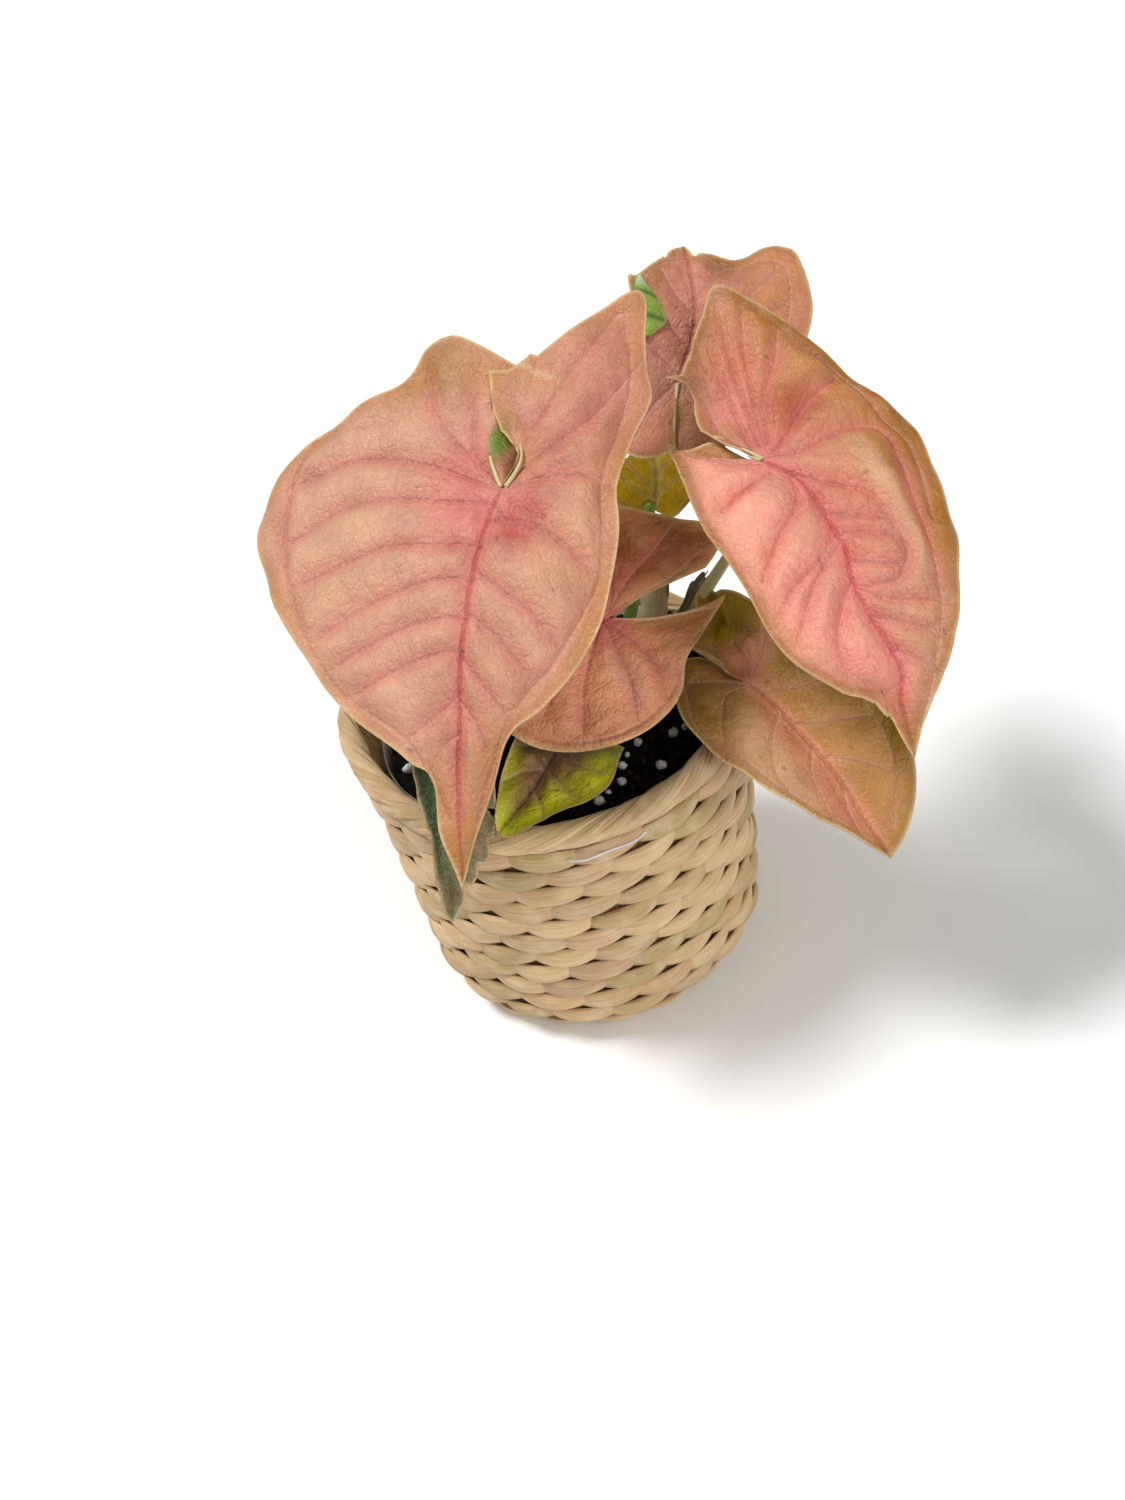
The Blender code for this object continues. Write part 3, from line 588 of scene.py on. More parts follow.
        "nicks": [(1, 10, 3, 3.0), (1, 20, 3, 2.0), (-1, 5, 2, 2.0), (1, 33, 5, 2.0), (1, 52, 4, 2.5)],
    },
    "leaf_turned": {
        "grid": (140, 54),
        "left": [(0, 16), (15, 14), (30, 12), (47, 10.3), (70, 8), (100, 6), (125, 5), (150, 4)],
        "right": [(0, 16), (7, 17), (24, 20), (45, 21), (70, 17), (90, 13), (115, 8), (150, 5)],
        "midrib": [(0, 0), (9, 6), (19, 10)],
        "veins": [
            [(1, 1), (6, 0), (12, -2)],
            [(4, 3), (10, 2), (15, 2)],
            [(3, 2), (4, 7), (4, 13)],
            [(9, 6), (10, 11), (9, 16)],
            [(1, 0), (3, -4), (6, -6)],
        ],
        "puff": (0.5, 0.2),
        "inner": (196, 126, 104),
        "edge": (200, 136, 108),
        "edge_width": 1.2,
        "rib": (196, 110, 100),
        "vein": (180, 104, 90),
        "band": 0.2,
        "under": (232, 186, 4),
        "slot": "green_leaf",
    },
}

# Colours of each stalk at the soil and at the blade
STALKS = {
    "leaf_front_left": ((196, 150, 120), (196, 200, 140)),
    "leaf_front_right": ((206, 170, 140), (190, 200, 120)),
    "leaf_back": ((196, 176, 140), (186, 186, 96)),
    "leaf_middle": ((70, 120, 40), (150, 180, 90)),
    "leaf_low_right": ((60, 104, 40), (150, 176, 84)),
    "leaf_rim": ((110, 150, 60), (150, 170, 70)),
    "leaf_hanging": ((110, 140, 70), (96, 136, 70)),
    "leaf_turned": ((100, 140, 60), (120, 140, 40)),
}

# The curled lobe of the leaf at the back: its crease and free edge on the blade, and its rise
CURL = {
    "crease": [(29, 11.5), (26, 12), (21, 12), (16, 11.5), (10, 9.5)],
    "free": [(28, 10), (24, 7.6), (20, 5), (15, 3.5), (10.5, 7.5)],
    "rows": 14,
    "rise": 1.6,
}

# Dry sheaths: stalk, top, direction of the open side, how wide, and the two colours
SHEATHS = {
    "sheath_dry": ("leaf_front_right", 100.0, math.radians(250), (150, 134, 104), (116, 102, 66)),
    "sheath_pale": ("leaf_back", 98.0, math.radians(120), (214, 190, 158), (186, 164, 120)),
}
SHEATH_SPREAD = math.radians(200)
SHEATH_CLEARANCE = 0.3
SHEATH_LIFT = 1.4
SHEATH_NARROWING = 0.55
SHEATH_BELLY = 1.2
SHEATH_GRID = (40, 60)
SHEATH_SKIN = 0.3
SHEATH_LENGTH = 24

# Colours of single marks
TINTS = {
    "tucked": (178, 122, 72),
    "tuck_shade": (66, 46, 16),
    "dry_edge": (218, 184, 136),
    "cream": (222, 188, 158),
    "under_vein": (214, 214, 150),
    "under_edge": (206, 176, 134),
    "speck": (104, 58, 42),
    "bare_rib": (206, 192, 140),
    "curl": (122, 148, 52),
    "curl_pale": (166, 186, 140),
    "curl_crease_shade": (44, 84, 30),
    "curl_edge": (206, 178, 140),
}
# Factors that darken the vein lines and the midrib, and the painted shade along the crease of a rolled
# margin
DARKER = {"side": (0.86, 0.68, 0.66), "rib": (0.7, 0.45, 0.45), "crease": (0.78, 0.66, 0.6)}
DARKEST = 0.001

# Strokes of the basket: stations along each, and ranges for length, half width and half depth
WALL_STROKE = {"stations": 20, "length": (1.14, 1.26), "width": (3.3, 3.75), "depth": (1.05, 1.35)}
BASE_STROKE = {"stations": 12, "length": 1.15, "width": (3.3, 3.7), "depth": (0.95, 1.1)}
RIM_STROKE = {"stations": 30, "length": (4.6, 5.6), "width": (1.5, 2.2), "depth": (0.6, 0.85)}
RIM_STROKES = 42
RIM_START = math.radians(-62)
RIM_SWEEP = math.radians(220)
LOWEST_STROKE = 2.6
BASE_RINGS = np.arange(3.5, 36, 6.2)
BASE_STROKE_PITCH = 16
STRAND_SIDES = 12
STRAND_SHIFT = (37.0, 3.0)
STRAW = ((218, 186, 140), (208, 174, 126), (194, 168, 116), (212, 174, 134))
STRAW_SHARES = (0.36, 0.32, 0.16, 0.16)

# Shaded strands behind the weave: below the rim, in from the outside and from the inside
CORE_DROP = 5
CORE_OUTSIDE = 1.5
CORE_INSIDE = 3.6
CORE_STEPS = 144

# Liner film and the place of the stray fibre
LINER_STEPS = 180
LINER_LEVELS = 26
CRUMPLE_RADIUS = 44
LINER_FOOT_RADIUS = 40.3
LINER_FILM = 0.2
FIBRE_HEIGHT = 74.2
FIBRE_RADIUS = 0.28
FIBRE_START = math.radians(-95)
FIBRE_SWEEP = math.radians(22)

# Grains on the mix: name, number, seed, sizes, flatness, ball level, roughness and colours
CRUMBS = ("soil_crumbs", 420, 61, (0.5, 1.6), (0.5, 1.1), 1, 0.14,
          ((22, 17, 13), (38, 28, 20), (14, 11, 9), (52, 38, 26)))
PERLITE = ("perlite", 90, 71, (0.8, 1.9), (0.7, 1.15), 2, 0.1, ((230, 230, 224),))
STALK_CLEARANCE = 2.6
SOIL_RINGS = 90
SOIL_STEPS = 200

# Lights: name, direction, spread in degrees and strength
LIGHTS = (("key", (-0.5, 0.15, 1.0), 18, 2.45), ("fill", (0.75, -1.0, 0.6), 50, 1.45))
WORLD_LIGHT = 0.34
FLOOR_REACH = 3.0


# Small tools


def linear(colour):
    """Linear light from display values of 0 to 255."""
    share = np.asarray(colour, float) / 255
    return np.where(share <= 0.04045, share / 12.92, ((share + 0.055) / 1.055) ** 2.4)


def unit(vector):
    """The direction of one vector."""
    return np.asarray(vector, float) / np.linalg.norm(vector)


def units(vectors):
    """The directions of many vectors."""
    return vectors / np.linalg.norm(vectors, axis=-1, keepdims=True)


def smooth_step(value):
    """0 below 0, 1 above 1 and a soft rise between."""
    value = np.clip(value, 0.0, 1.0)
    return value * value * (3 - 2 * value)


def hill(distance, width):
    """1 on a line and falling away from it."""
    return np.exp(-((distance / width) ** 2))


def waves(x, y, size, seed, count=9):
    """Smooth noise of about -1 to 1 whose lumps are about `size` across."""
    draw = np.random.default_rng(seed)
    total = np.zeros(np.broadcast(x, y).shape)
    for _ in range(count):
        turn = draw.uniform(0, math.tau)
        rate = math.tau / (2 * size) * draw.uniform(0.6, 1.4)
        phase = draw.uniform(0, math.tau)
        total += np.sin(rate * (x * math.cos(turn) + y * math.sin(turn)) + phase)
    return total / math.sqrt(count)


def mix(first, second, share):
    """Mix arrays of colours by an array of shares."""
    return first + (np.asarray(second) - first) * np.asarray(share)[..., None]


def both_sides(values):
    """The same values for the points of the upper and of the lower side."""
    return np.concatenate([values, values])


def write_colours(mesh, name, colours):
    """Write a colour at each point."""
    attribute = mesh.attributes.new(name, "FLOAT_COLOR", "POINT")
    full = np.ones((len(mesh.vertices), 4), np.float32)
    full[:, :3] = colours
    attribute.data.foreach_set("color", full.ravel())


def write_vectors(mesh, name, vectors):
    """Write a vector at each point."""
    attribute = mesh.attributes.new(name, "FLOAT_VECTOR", "POINT")
    attribute.data.foreach_set("vector", np.asarray(vectors, np.float32).ravel())


def make_piece(name, points, faces, made, nodes=()):
    """A smooth mesh from millimetre points that rides with the plant."""
    mesh = bpy.data.meshes.new(name)
    mesh.from_pydata((np.asarray(points) * MM).tolist(), [], faces)
    mesh.materials.append(made)
    mesh.shade_smooth()
    mesh.update()
    piece = bpy.data.objects.new(name, mesh)
    bpy.context.scene.collection.objects.link(piece)
    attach(piece, "root")
    if nodes:
        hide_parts(*nodes)
    return piece


def grid_faces(columns, rows, start=0, flip=False, closed=False):
    """Quads of a grid whose points are numbered column by column."""
    spans = columns if closed else columns - 1
    column, row = np.meshgrid(np.arange(spans), np.arange(rows - 1), indexing="ij")
    following = (column + 1) % columns
    a = start + column * rows + row
    b = start + following * rows + row
    quads = np.stack([a, b, b + 1, a + 1], -1).reshape(-1, 4)
    return (quads[:, ::-1] if flip else quads).tolist()


def grid_normals(points):
    """Directions that stand off a grid of points."""
    across = np.gradient(points, axis=0)
    along = np.gradient(points, axis=1)
    normals = np.cross(across, along)
    lengths = np.linalg.norm(normals, axis=2, keepdims=True)
    return normals / np.maximum(lengths, 1e-9)


def shell(top, thickness, up):
    """Closed thin shell under a grid of points: its points and faces."""
    normals = grid_normals(top)
    middle = normals[top.shape[0] // 2, top.shape[1] // 2]
    flip = float(middle @ np.asarray(up)) < 0
    if flip:
        normals = -normals
    columns, rows = top.shape[:2]
    bottom = top - normals * thickness[..., None]
    points = np.concatenate([top.reshape(-1, 3), bottom.reshape(-1, 3)])
    count = columns * rows
    faces = grid_faces(columns, rows, 0, flip)
    faces += grid_faces(columns, rows, count, not flip)
    border = [column * rows for column in range(columns)]
    border += [(columns - 1) * rows + row for row in range(1, rows)]
    border += [column * rows + rows - 1 for column in range(columns - 2, -1, -1)]
    border += [row for row in range(rows - 2, 0, -1)]
    for first, second in zip(border, border[1:] + border[:1]):
        quad = [first, second, second + count, first + count]
        faces.append(quad if flip else quad[::-1])
    return points, faces


# Materials


class Nodes:
    """Short calls to build a material's node tree."""

    def __init__(self, name):
        self.material = bpy.data.materials.new(name)
        self.material.use_nodes = True
        self.tree = self.material.node_tree
        self.shader = self.tree.nodes["Principled BSDF"]

    def add(self, kind, **inputs):
        node = self.tree.nodes.new(kind)
        for key, value in inputs.items():
            name = key.replace("_", " ")
            if name in node.inputs:
                self.feed(node.inputs[name], value)
            else:
                setattr(node, key, value)
        return node

    def feed(self, socket, value):
        if isinstance(value, bpy.types.NodeSocket):
            self.tree.links.new(value, socket)
        else:
            socket.default_value = value

    def place(self):
        return self.add("ShaderNodeTexCoord").outputs["Object"]

    def attribute(self, name, output):
        node = self.add("ShaderNodeAttribute")
        node.attribute_name = name
        return node.outputs[output]

    def stretch(self, vector, scale):
        node = self.add("ShaderNodeMapping", Vector=vector, Scale=scale)
        return node.outputs["Vector"]

    def noise(self, vector, scale, detail, roughness):
        node = self.add("ShaderNodeTexNoise", Vector=vector, Scale=scale)
        self.feed(node.inputs["Detail"], detail)
        self.feed(node.inputs["Roughness"], roughness)
        return node.outputs["Fac"]

    def cells(self, vector, scale):
        node = self.add("ShaderNodeTexVoronoi", feature="DISTANCE_TO_EDGE", Vector=vector, Scale=scale)
        return node.outputs["Distance"]

    def ranged(self, value, low, high, to_low, to_high):
        node = self.add("ShaderNodeMapRange")
        node.interpolation_type = "SMOOTHSTEP"
        self.feed(node.inputs["Value"], value)
        limits = {"From Min": low, "From Max": high, "To Min": to_low, "To Max": to_high}
        for name, number in limits.items():
            node.inputs[name].default_value = number
        return node.outputs["Result"]

    def blend(self, share, first, second, kind="MIX"):
        node = self.tree.nodes.new("ShaderNodeMix")
        node.data_type = "RGBA"
        node.blend_type = kind
        self.feed(node.inputs[0], share)
        self.feed(node.inputs[6], first)
        self.feed(node.inputs[7], second)
        return node.outputs[2]

    def tone(self, colour, value, levels, factors, kind="MULTIPLY"):
        """Change a colour by factors where a value lies in a range."""
        return self.blend(self.ranged(value, *levels), colour, (*factors, 1.0), kind)

    def cover(self, colour, value, levels, over):
        """Lay a display colour over another where a value lies in a range."""
        return self.blend(self.ranged(value, *levels), colour, colour4(over))

    def math(self, kind, first, second):
        node = self.tree.nodes.new("ShaderNodeMath")
        node.operation = kind
        self.feed(node.inputs[0], first)
        self.feed(node.inputs[1], second)
        return node.outputs[0]

    def scaled(self, value, factor):
        return self.math("MULTIPLY", value, factor)

    def part(self, vector, axis):
        return self.add("ShaderNodeSeparateXYZ", Vector=vector).outputs[axis]

    def vein(self, axis, half_width, limit=1.2):
        """1 on the middle of a vein: near it, and where the signed distance is small."""
        across = self.math("ABSOLUTE", self.part(self.attribute("vein_across", "Vector"), axis), 0.0)
        near = self.part(self.attribute("vein_near", "Vector"), axis)
        line = self.ranged(across, 0.3 * half_width, half_width, 1.0, 0.0)
        return self.math("MULTIPLY", line, self.ranged(near, 0.6 * limit, limit, 1.0, 0.0))

    def bump(self, height, depth, strength):
        node = self.add("ShaderNodeBump")
        node.inputs["Strength"].default_value = strength
        node.inputs["Distance"].default_value = depth
        self.feed(node.inputs["Height"], height)
        return node.outputs["Normal"]

    def set(self, **inputs):
        for key, value in inputs.items():
            self.feed(self.shader.inputs[key.replace("_", " ")], value)

    def finish(self, colour, height, depth, strength, **inputs):
        """Give the material its colour, a bump from a height and other inputs."""
        self.set(Base_Color=colour, Normal=self.bump(height, depth, strength), **inputs)
        return self.material


def colour4(colour):
    """A display colour as four linear values."""
    return (*[float(value) for value in linear(colour)], 1.0)


def leaf_material():
    """Satin blade: painted colour, crisp veins with a painted highlight beside the side veins, dark
    specks with painted pale glints, and a light grain.
    """
    nodes = Nodes("leaf_blade")
    flat = nodes.attribute("flat", "Vector")
    mottle = nodes.noise(flat, 0.5, 4.0, 0.6)
    glint_and_speckle = nodes.noise(flat, 1.9, 3.0, 0.7)
    net = nodes.cells(flat, 0.42)
    side = nodes.vein(SIDE, 0.3)
    vein_side_highlight = nodes.math("SUBTRACT", nodes.vein(SIDE, 1.0, 1.7), side)
    colour = nodes.attribute("tint", "Color")
    colour = nodes.tone(colour, mottle, (0.35, 0.7, 0.0, 0.3), (0.8, 0.66, 0.56), "SOFT_LIGHT")
    # Painted highlight: where this noise is high the colour is lifted to pale glints that stand for the
    # sheen of glossy cells; where it is low the blade gets dark specks of its own.
    colour = nodes.tone(colour, glint_and_speckle, (0.48, 0.64, 0.0, 0.6), (1.22, 1.32, 1.34))
    colour = nodes.tone(colour, glint_and_speckle, (0.44, 0.3, 0.0, 0.2), (0.7, 0.5, 0.44))
    colour = nodes.tone(colour, net, (0.0, 0.06, 0.06, 0.0), (0.62, 0.42, 0.36))
    # Painted highlight: a pale line along both sides of each side vein.
    colour = nodes.blend(nodes.scaled(vein_side_highlight, 0.14), colour, colour4((246, 206, 190)))
    lines = ((nodes.vein(CROSS, 0.24), 0.1, (0.7, 0.42, 0.38)),
             (side, 0.24, (0.72, 0.36, 0.34)),
             (nodes.vein(RIB, 0.32), 0.5, (0.6, 0.26, 0.26)))
    for line, strength, factors in lines:
        colour = nodes.blend(nodes.scaled(line, strength), colour, (*factors, 1.0), "MULTIPLY")
    lift = nodes.math("ADD", nodes.ranged(net, 0.0, 0.22, 0.0, 0.6), nodes.scaled(glint_and_speckle, 0.7))
    lift = nodes.math("ADD", lift, nodes.ranged(nodes.cells(flat, 0.95), 0.0, 0.2, 0.0, 0.35))
    for kind, half_width, depth in ((SIDE, 0.7, 0.9), (CROSS, 0.5, 0.35), (RIB, 0.7, 1.2)):
        lift = nodes.math("SUBTRACT", lift, nodes.scaled(nodes.vein(kind, half_width), depth))
    nodes.set(Subsurface_Weight=0.04, Subsurface_Radius=(0.9, 0.4, 0.2), Subsurface_Scale=0.001)
    nodes.set(Roughness=nodes.ranged(glint_and_speckle, 0.3, 0.7, 0.34, 0.5), Specular_IOR_Level=0.4)
    return nodes.finish(colour, lift, 0.00035, 0.7)


def dry_leaf_material():
    """Blade that is partly withered: the same paint with rough papery cells."""
    nodes = Nodes("leaf_withered")
    flat = nodes.attribute("flat", "Vector")
    blotch = nodes.noise(flat, 0.5, 5.0, 0.7)
    cells = nodes.cells(nodes.stretch(flat, (0.7, 1.6, 1.0)), 0.9)
    colour = nodes.attribute("tint", "Color")
    colour = nodes.tone(colour, blotch, (0.35, 0.65, 0.0, 0.5), (0.5, 0.42, 0.34))
    colour = nodes.cover(colour, cells, (0.0, 0.1, 0.16, 0.0), (176, 172, 140))
    height = nodes.math("ADD", nodes.ranged(cells, 0.0, 0.3, 0.0, 1.0), blotch)
    nodes.set(Roughness=0.55, Subsurface_Weight=0.05, Subsurface_Scale=0.001)
    return nodes.finish(colour, height, 0.0004, 0.7)


def stalk_material():
    """Smooth stalk with fine streaks and pale spots."""
    nodes = Nodes("stalk_skin")
    lay = nodes.attribute("lay", "Vector")
    streak = nodes.noise(nodes.stretch(lay, (0.12, 1.6, 1.0)), 1.0, 3.0, 0.6)
    spots = nodes.noise(lay, 1.8, 2.0, 0.5)
    colour = nodes.attribute("tint", "Color")
    colour = nodes.tone(colour, streak, (0.35, 0.7, 0.0, 0.4), (0.62, 0.56, 0.5))
    colour = nodes.cover(colour, spots, (0.55, 0.75, 0.0, 0.3), (226, 222, 180))
    nodes.set(Subsurface_Weight=0.12, Subsurface_Scale=0.0012, Subsurface_Radius=(0.7, 0.6, 0.2))
    return nodes.finish(colour, streak, 0.0002, 0.4, Roughness=0.38)


def sheath_material():
    """Papery sheath with long fibres."""
    nodes = Nodes("sheath_paper")
    lay = nodes.attribute("lay", "Vector")
    fibre = nodes.noise(nodes.stretch(lay, (0.15, 2.4, 1.0)), 1.0, 4.0, 0.65)
    colour = nodes.attribute("tint", "Color")
    colour = nodes.tone(colour, fibre, (0.35, 0.65, 0.0, 0.6), (0.5, 0.42, 0.3))
    return nodes.finish(colour, fibre, 0.0004, 0.7, Roughness=0.7)


def straw_material():
    """Twisted dry strands: long fibres, pale ridges and browner furrows."""
    nodes = Nodes("straw_strands")
    lay = nodes.attribute("lay", "Vector")
    fibre = nodes.noise(nodes.stretch(lay, (0.09, 1.5, 1.0)), 1.0, 4.0, 0.6)
    fine = nodes.noise(nodes.stretch(lay, (0.25, 5.0, 1.0)), 1.0, 3.0, 0.6)
    blotch = nodes.noise(lay, 0.16, 2.0, 0.5)
    colour = nodes.attribute("tint", "Color")
    colour = nodes.tone(colour, fibre, (0.3, 0.62, 0.55, 0.0), (0.62, 0.5, 0.36))
    colour = nodes.tone(colour, fine, (0.3, 0.5, 0.35, 0.0), (0.66, 0.54, 0.4))
    colour = nodes.cover(colour, blotch, (0.45, 0.75, 0.0, 0.5), (226, 202, 164))
    height = nodes.math("ADD", fibre, nodes.scaled(fine, 0.4))
    nodes.set(Roughness=nodes.ranged(fine, 0.3, 0.7, 0.55, 0.75), Specular_IOR_Level=0.35)
    return nodes.finish(colour, height, 0.0008, 0.75, Sheen_Weight=0.1)


def core_material():
    """The shaded strands behind the weave."""
    nodes = Nodes("straw_core")
    fibre = nodes.noise(nodes.stretch(nodes.place(), (1.0, 1.0, 0.15)), 900.0, 3.0, 0.6)
    colour = nodes.cover(colour4((150, 116, 72)), fibre, (0.35, 0.65, 0.0, 1.0), (196, 160, 108))
    return nodes.finish(colour, fibre, 0.0006, 0.7, Roughness=0.8)


def film_material():
    """Clear liner film with faint creases."""
    nodes = Nodes("clear_film")
    crease = nodes.noise(nodes.stretch(nodes.place(), (1.0, 1.0, 0.4)), 140.0, 3.0, 0.6)
    dull, bright = (0.8, 0.84, 0.84, 1.0), (0.95, 0.97, 0.97, 1.0)
    colour = nodes.blend(nodes.ranged(crease, 0.4, 0.7, 0.0, 1.0), dull, bright)
    return nodes.finish(colour, crease, 0.0012, 0.6, Roughness=0.12, Alpha=0.2)


def soil_material():
    """Nearly black potting mix with brown flecks."""
    nodes = Nodes("potting_mix")
    place = nodes.place()
    lumps = nodes.noise(place, 420.0, 5.0, 0.7)
    flecks = nodes.noise(place, 1500.0, 2.0, 0.6)
    colour = nodes.cover(colour4((8, 6, 5)), lumps, (0.4, 0.7, 0.0, 1.0), (30, 22, 17))
    colour = nodes.cover(colour, flecks, (0.62, 0.75, 0.0, 0.5), (58, 44, 32))
    return nodes.finish(colour, lumps, 0.0015, 0.9, Roughness=0.9, Specular_IOR_Level=0.08)


def bark_material():
    """Loose dark crumbs."""
    nodes = Nodes("bark_crumbs")
    grain = nodes.noise(nodes.place(), 900.0, 4.0, 0.6)
    colour = nodes.attribute("tint", "Color")
    colour = nodes.tone(colour, grain, (0.35, 0.65, 0.0, 0.7), (0.3, 0.25, 0.22))
    return nodes.finish(colour, grain, 0.0008, 0.8, Roughness=0.85, Specular_IOR_Level=0.1)


def perlite_material():
    """White porous grains."""
    nodes = Nodes("perlite_grains")
    pores = nodes.noise(nodes.place(), 1400.0, 4.0, 0.7)
    colour = nodes.cover(colour4((150, 146, 138)), pores, (0.3, 0.6, 0.0, 1.0), (232, 230, 224))
    nodes.set(Roughness=0.75, Subsurface_Weight=0.1, Subsurface_Scale=0.001)
    return nodes.finish(colour, pores, 0.0008, 0.9)


def fibre_material():
    """Pale shiny fibre."""
    nodes = Nodes("stray_fibre")
    grain = nodes.noise(nodes.place(), 2000.0, 2.0, 0.5)
    colour = nodes.blend(grain, colour4((196, 196, 200)), colour4((226, 226, 230)))
    return nodes.finish(colour, grain, 0.0002, 0.4, Roughness=0.3)


# Leaf form


def reach(table, angle):
    """Smooth distance from the joint to the margin at each angle of the outline table."""
    at = np.array([row[0] for row in table], float)
    out = np.array([row[1] for row in table], float)
    span = np.diff(at)
    slope = np.diff(out) / span
    tangent = np.concatenate([slope[:1], slope, slope[-1:]])
    tangent = 0.5 * (tangent[:-1] + tangent[1:])
    piece = np.clip(np.searchsorted(at, angle, side="right") - 1, 0, len(span) - 1)
    step = np.clip((angle - at[piece]) / span[piece], 0, 1)
    start = (1 + 2 * step) * (1 - step) ** 2 * out[piece]
    start += step * (1 - step) ** 2 * span[piece] * tangent[piece]
    end = step**2 * (3 - 2 * step) * out[piece + 1]
    end += step**2 * (step - 1) * span[piece] * tangent[piece + 1]
    return start + end


def midrib(leaf, share):
    """Points on the midrib at shares of its length, and its forward and upward axes."""
    joint = np.array(leaf["joint"], float)
    chord = np.array(leaf["tip"], float) - joint
    along = unit(chord)
    up = unit(np.array(leaf["face"]) - (np.array(leaf["face"]) @ along) * along)
    lift = leaf["arch"] * 4 * share * (1 - share)
    points = joint + np.outer(share, chord) + np.outer(lift, up)
    slope = leaf["arch"] * 4 * (1 - 2 * share)
    forward = units(chord + np.outer(slope, up))
    normal = units(up - (forward @ up)[:, None] * forward)
    return points, forward, normal


def bend(rate, length):
    """Run and rise of an arc that turns `rate` radians each millimetre."""
    straight = np.abs(rate) < 1e-6
    safe = np.where(straight, 1.0, rate)
    run = np.where(straight, length, np.sin(safe * length) / safe)
    rise = np.where(straight, 0.0, (1 - np.cos(safe * length)) / safe)
    return run, rise


def leaf_points(leaf, u, v, height):
    """Place flat leaf coordinates in space: u along the midrib, v to the right."""
    length = math.dist(leaf["tip"], leaf["joint"])
    middle, forward, normal = midrib(leaf, np.clip(u / length, 0, None))
    side = np.where(v < 0, 0, 1)
    back = np.clip(-u, 0, None)
    lobe_rate = np.radians(np.array(leaf["lobe"], float))[side] / LOBE_SPAN
    run, rise = bend(lobe_rate, back)
    turn = lobe_rate * back
    middle = middle - forward * run[:, None] + normal * rise[:, None]
    across = np.cross(normal, forward)
    upward = normal * np.cos(turn)[:, None] + forward * np.sin(turn)[:, None]
    fold = np.radians(np.array(leaf["fold"], float))[side]
    curl_rate = np.radians(np.array(leaf["curl"], float))[side] / leaf["width"]
    run, rise = bend(curl_rate, np.abs(v))
    out = np.sign(v) * (run * np.cos(fold) - rise * np.sin(fold))
    rounded = np.hypot(v, FOLD_ROUND) - np.abs(v)
    lift = (run + rounded - FOLD_ROUND) * np.sin(fold) + rise * np.cos(fold)
    tilt = (fold + curl_rate * np.abs(v)) * smooth_step(np.abs(v) / FOLD_SOFT)
    surface = upward * np.cos(tilt)[:, None]
    surface = surface - across * (np.where(v < 0, -1, 1) * np.sin(tilt))[:, None]
    return middle + across * out[:, None] + upward * lift[:, None] + surface * height[:, None]


def of_side(pair, side):
    """The value of a pair for the left (-1) or the right (1) half."""
    return pair[0 if side < 0 else 1]


def outline(look, side):
    """The outline table of one half."""
    return look[of_side(("left", "right"), side)]


def even_angles(table, count):
    """Angles of rays that meet the margin at nearly even steps."""
    fine = np.linspace(0, table[-1][0], OUTLINE_STEPS)
    far = reach(table, fine)
    x = far * np.cos(np.radians(fine))
    y = far * np.sin(np.radians(fine))
    steps = np.hypot(np.diff(x), np.diff(y)) + RAY_EVENNESS * np.radians(np.diff(fine))
    travel = np.concatenate([[0], np.cumsum(steps)])
    return np.interp(np.linspace(0, travel[-1], count), travel, fine)


def nicked_reach(table, look, side, angle):
    """Distance to the margin with its torn bits taken out."""
    far = reach(table, angle)
    for nick_side, centre, width, depth in look.get("nicks", ()):
        if nick_side == side:
            far = far - depth * hill(angle - centre, width / 1.7)
    return far


def roll(look, side, angle, far, distance):
    """Bend the margin: distances from the joint, heights, and how far past the crease."""
    height = np.zeros_like(distance)
    crease = np.full_like(distance, -NOWHERE)
    for roll_side, centre, width, zone, turn, length in look.get("rolls", ()):
        if roll_side != side:
            continue
        full = np.radians(turn) * hill(angle - centre, width)
        past = np.clip(distance - (far - zone), 0, None)
        bent = np.minimum(past, length)
        run, rise = bend(full / length, bent)
        straight = past - bent
        run = run + straight * np.cos(full)
        rise = rise + straight * np.sin(full)
        height = height + rise
        crease = np.where(hill(angle - centre, width) > ROLL_EDGE, distance - (far - zone), crease)
        distance = np.where(past > 0, far - zone + run, distance)
    return distance, height, crease


def notch_turn(look, side, spread, distance):
    """How far rays near the notch swing round, so that its edges get their shape."""
    if "notch" not in look:
        return 0.0
    last = outline(look, side)[-1][0]
    away, direction = zip(*of_side(look["notch"], side))
    return (np.interp(distance, away, direction) - last) * spread**NOTCH_GRIP


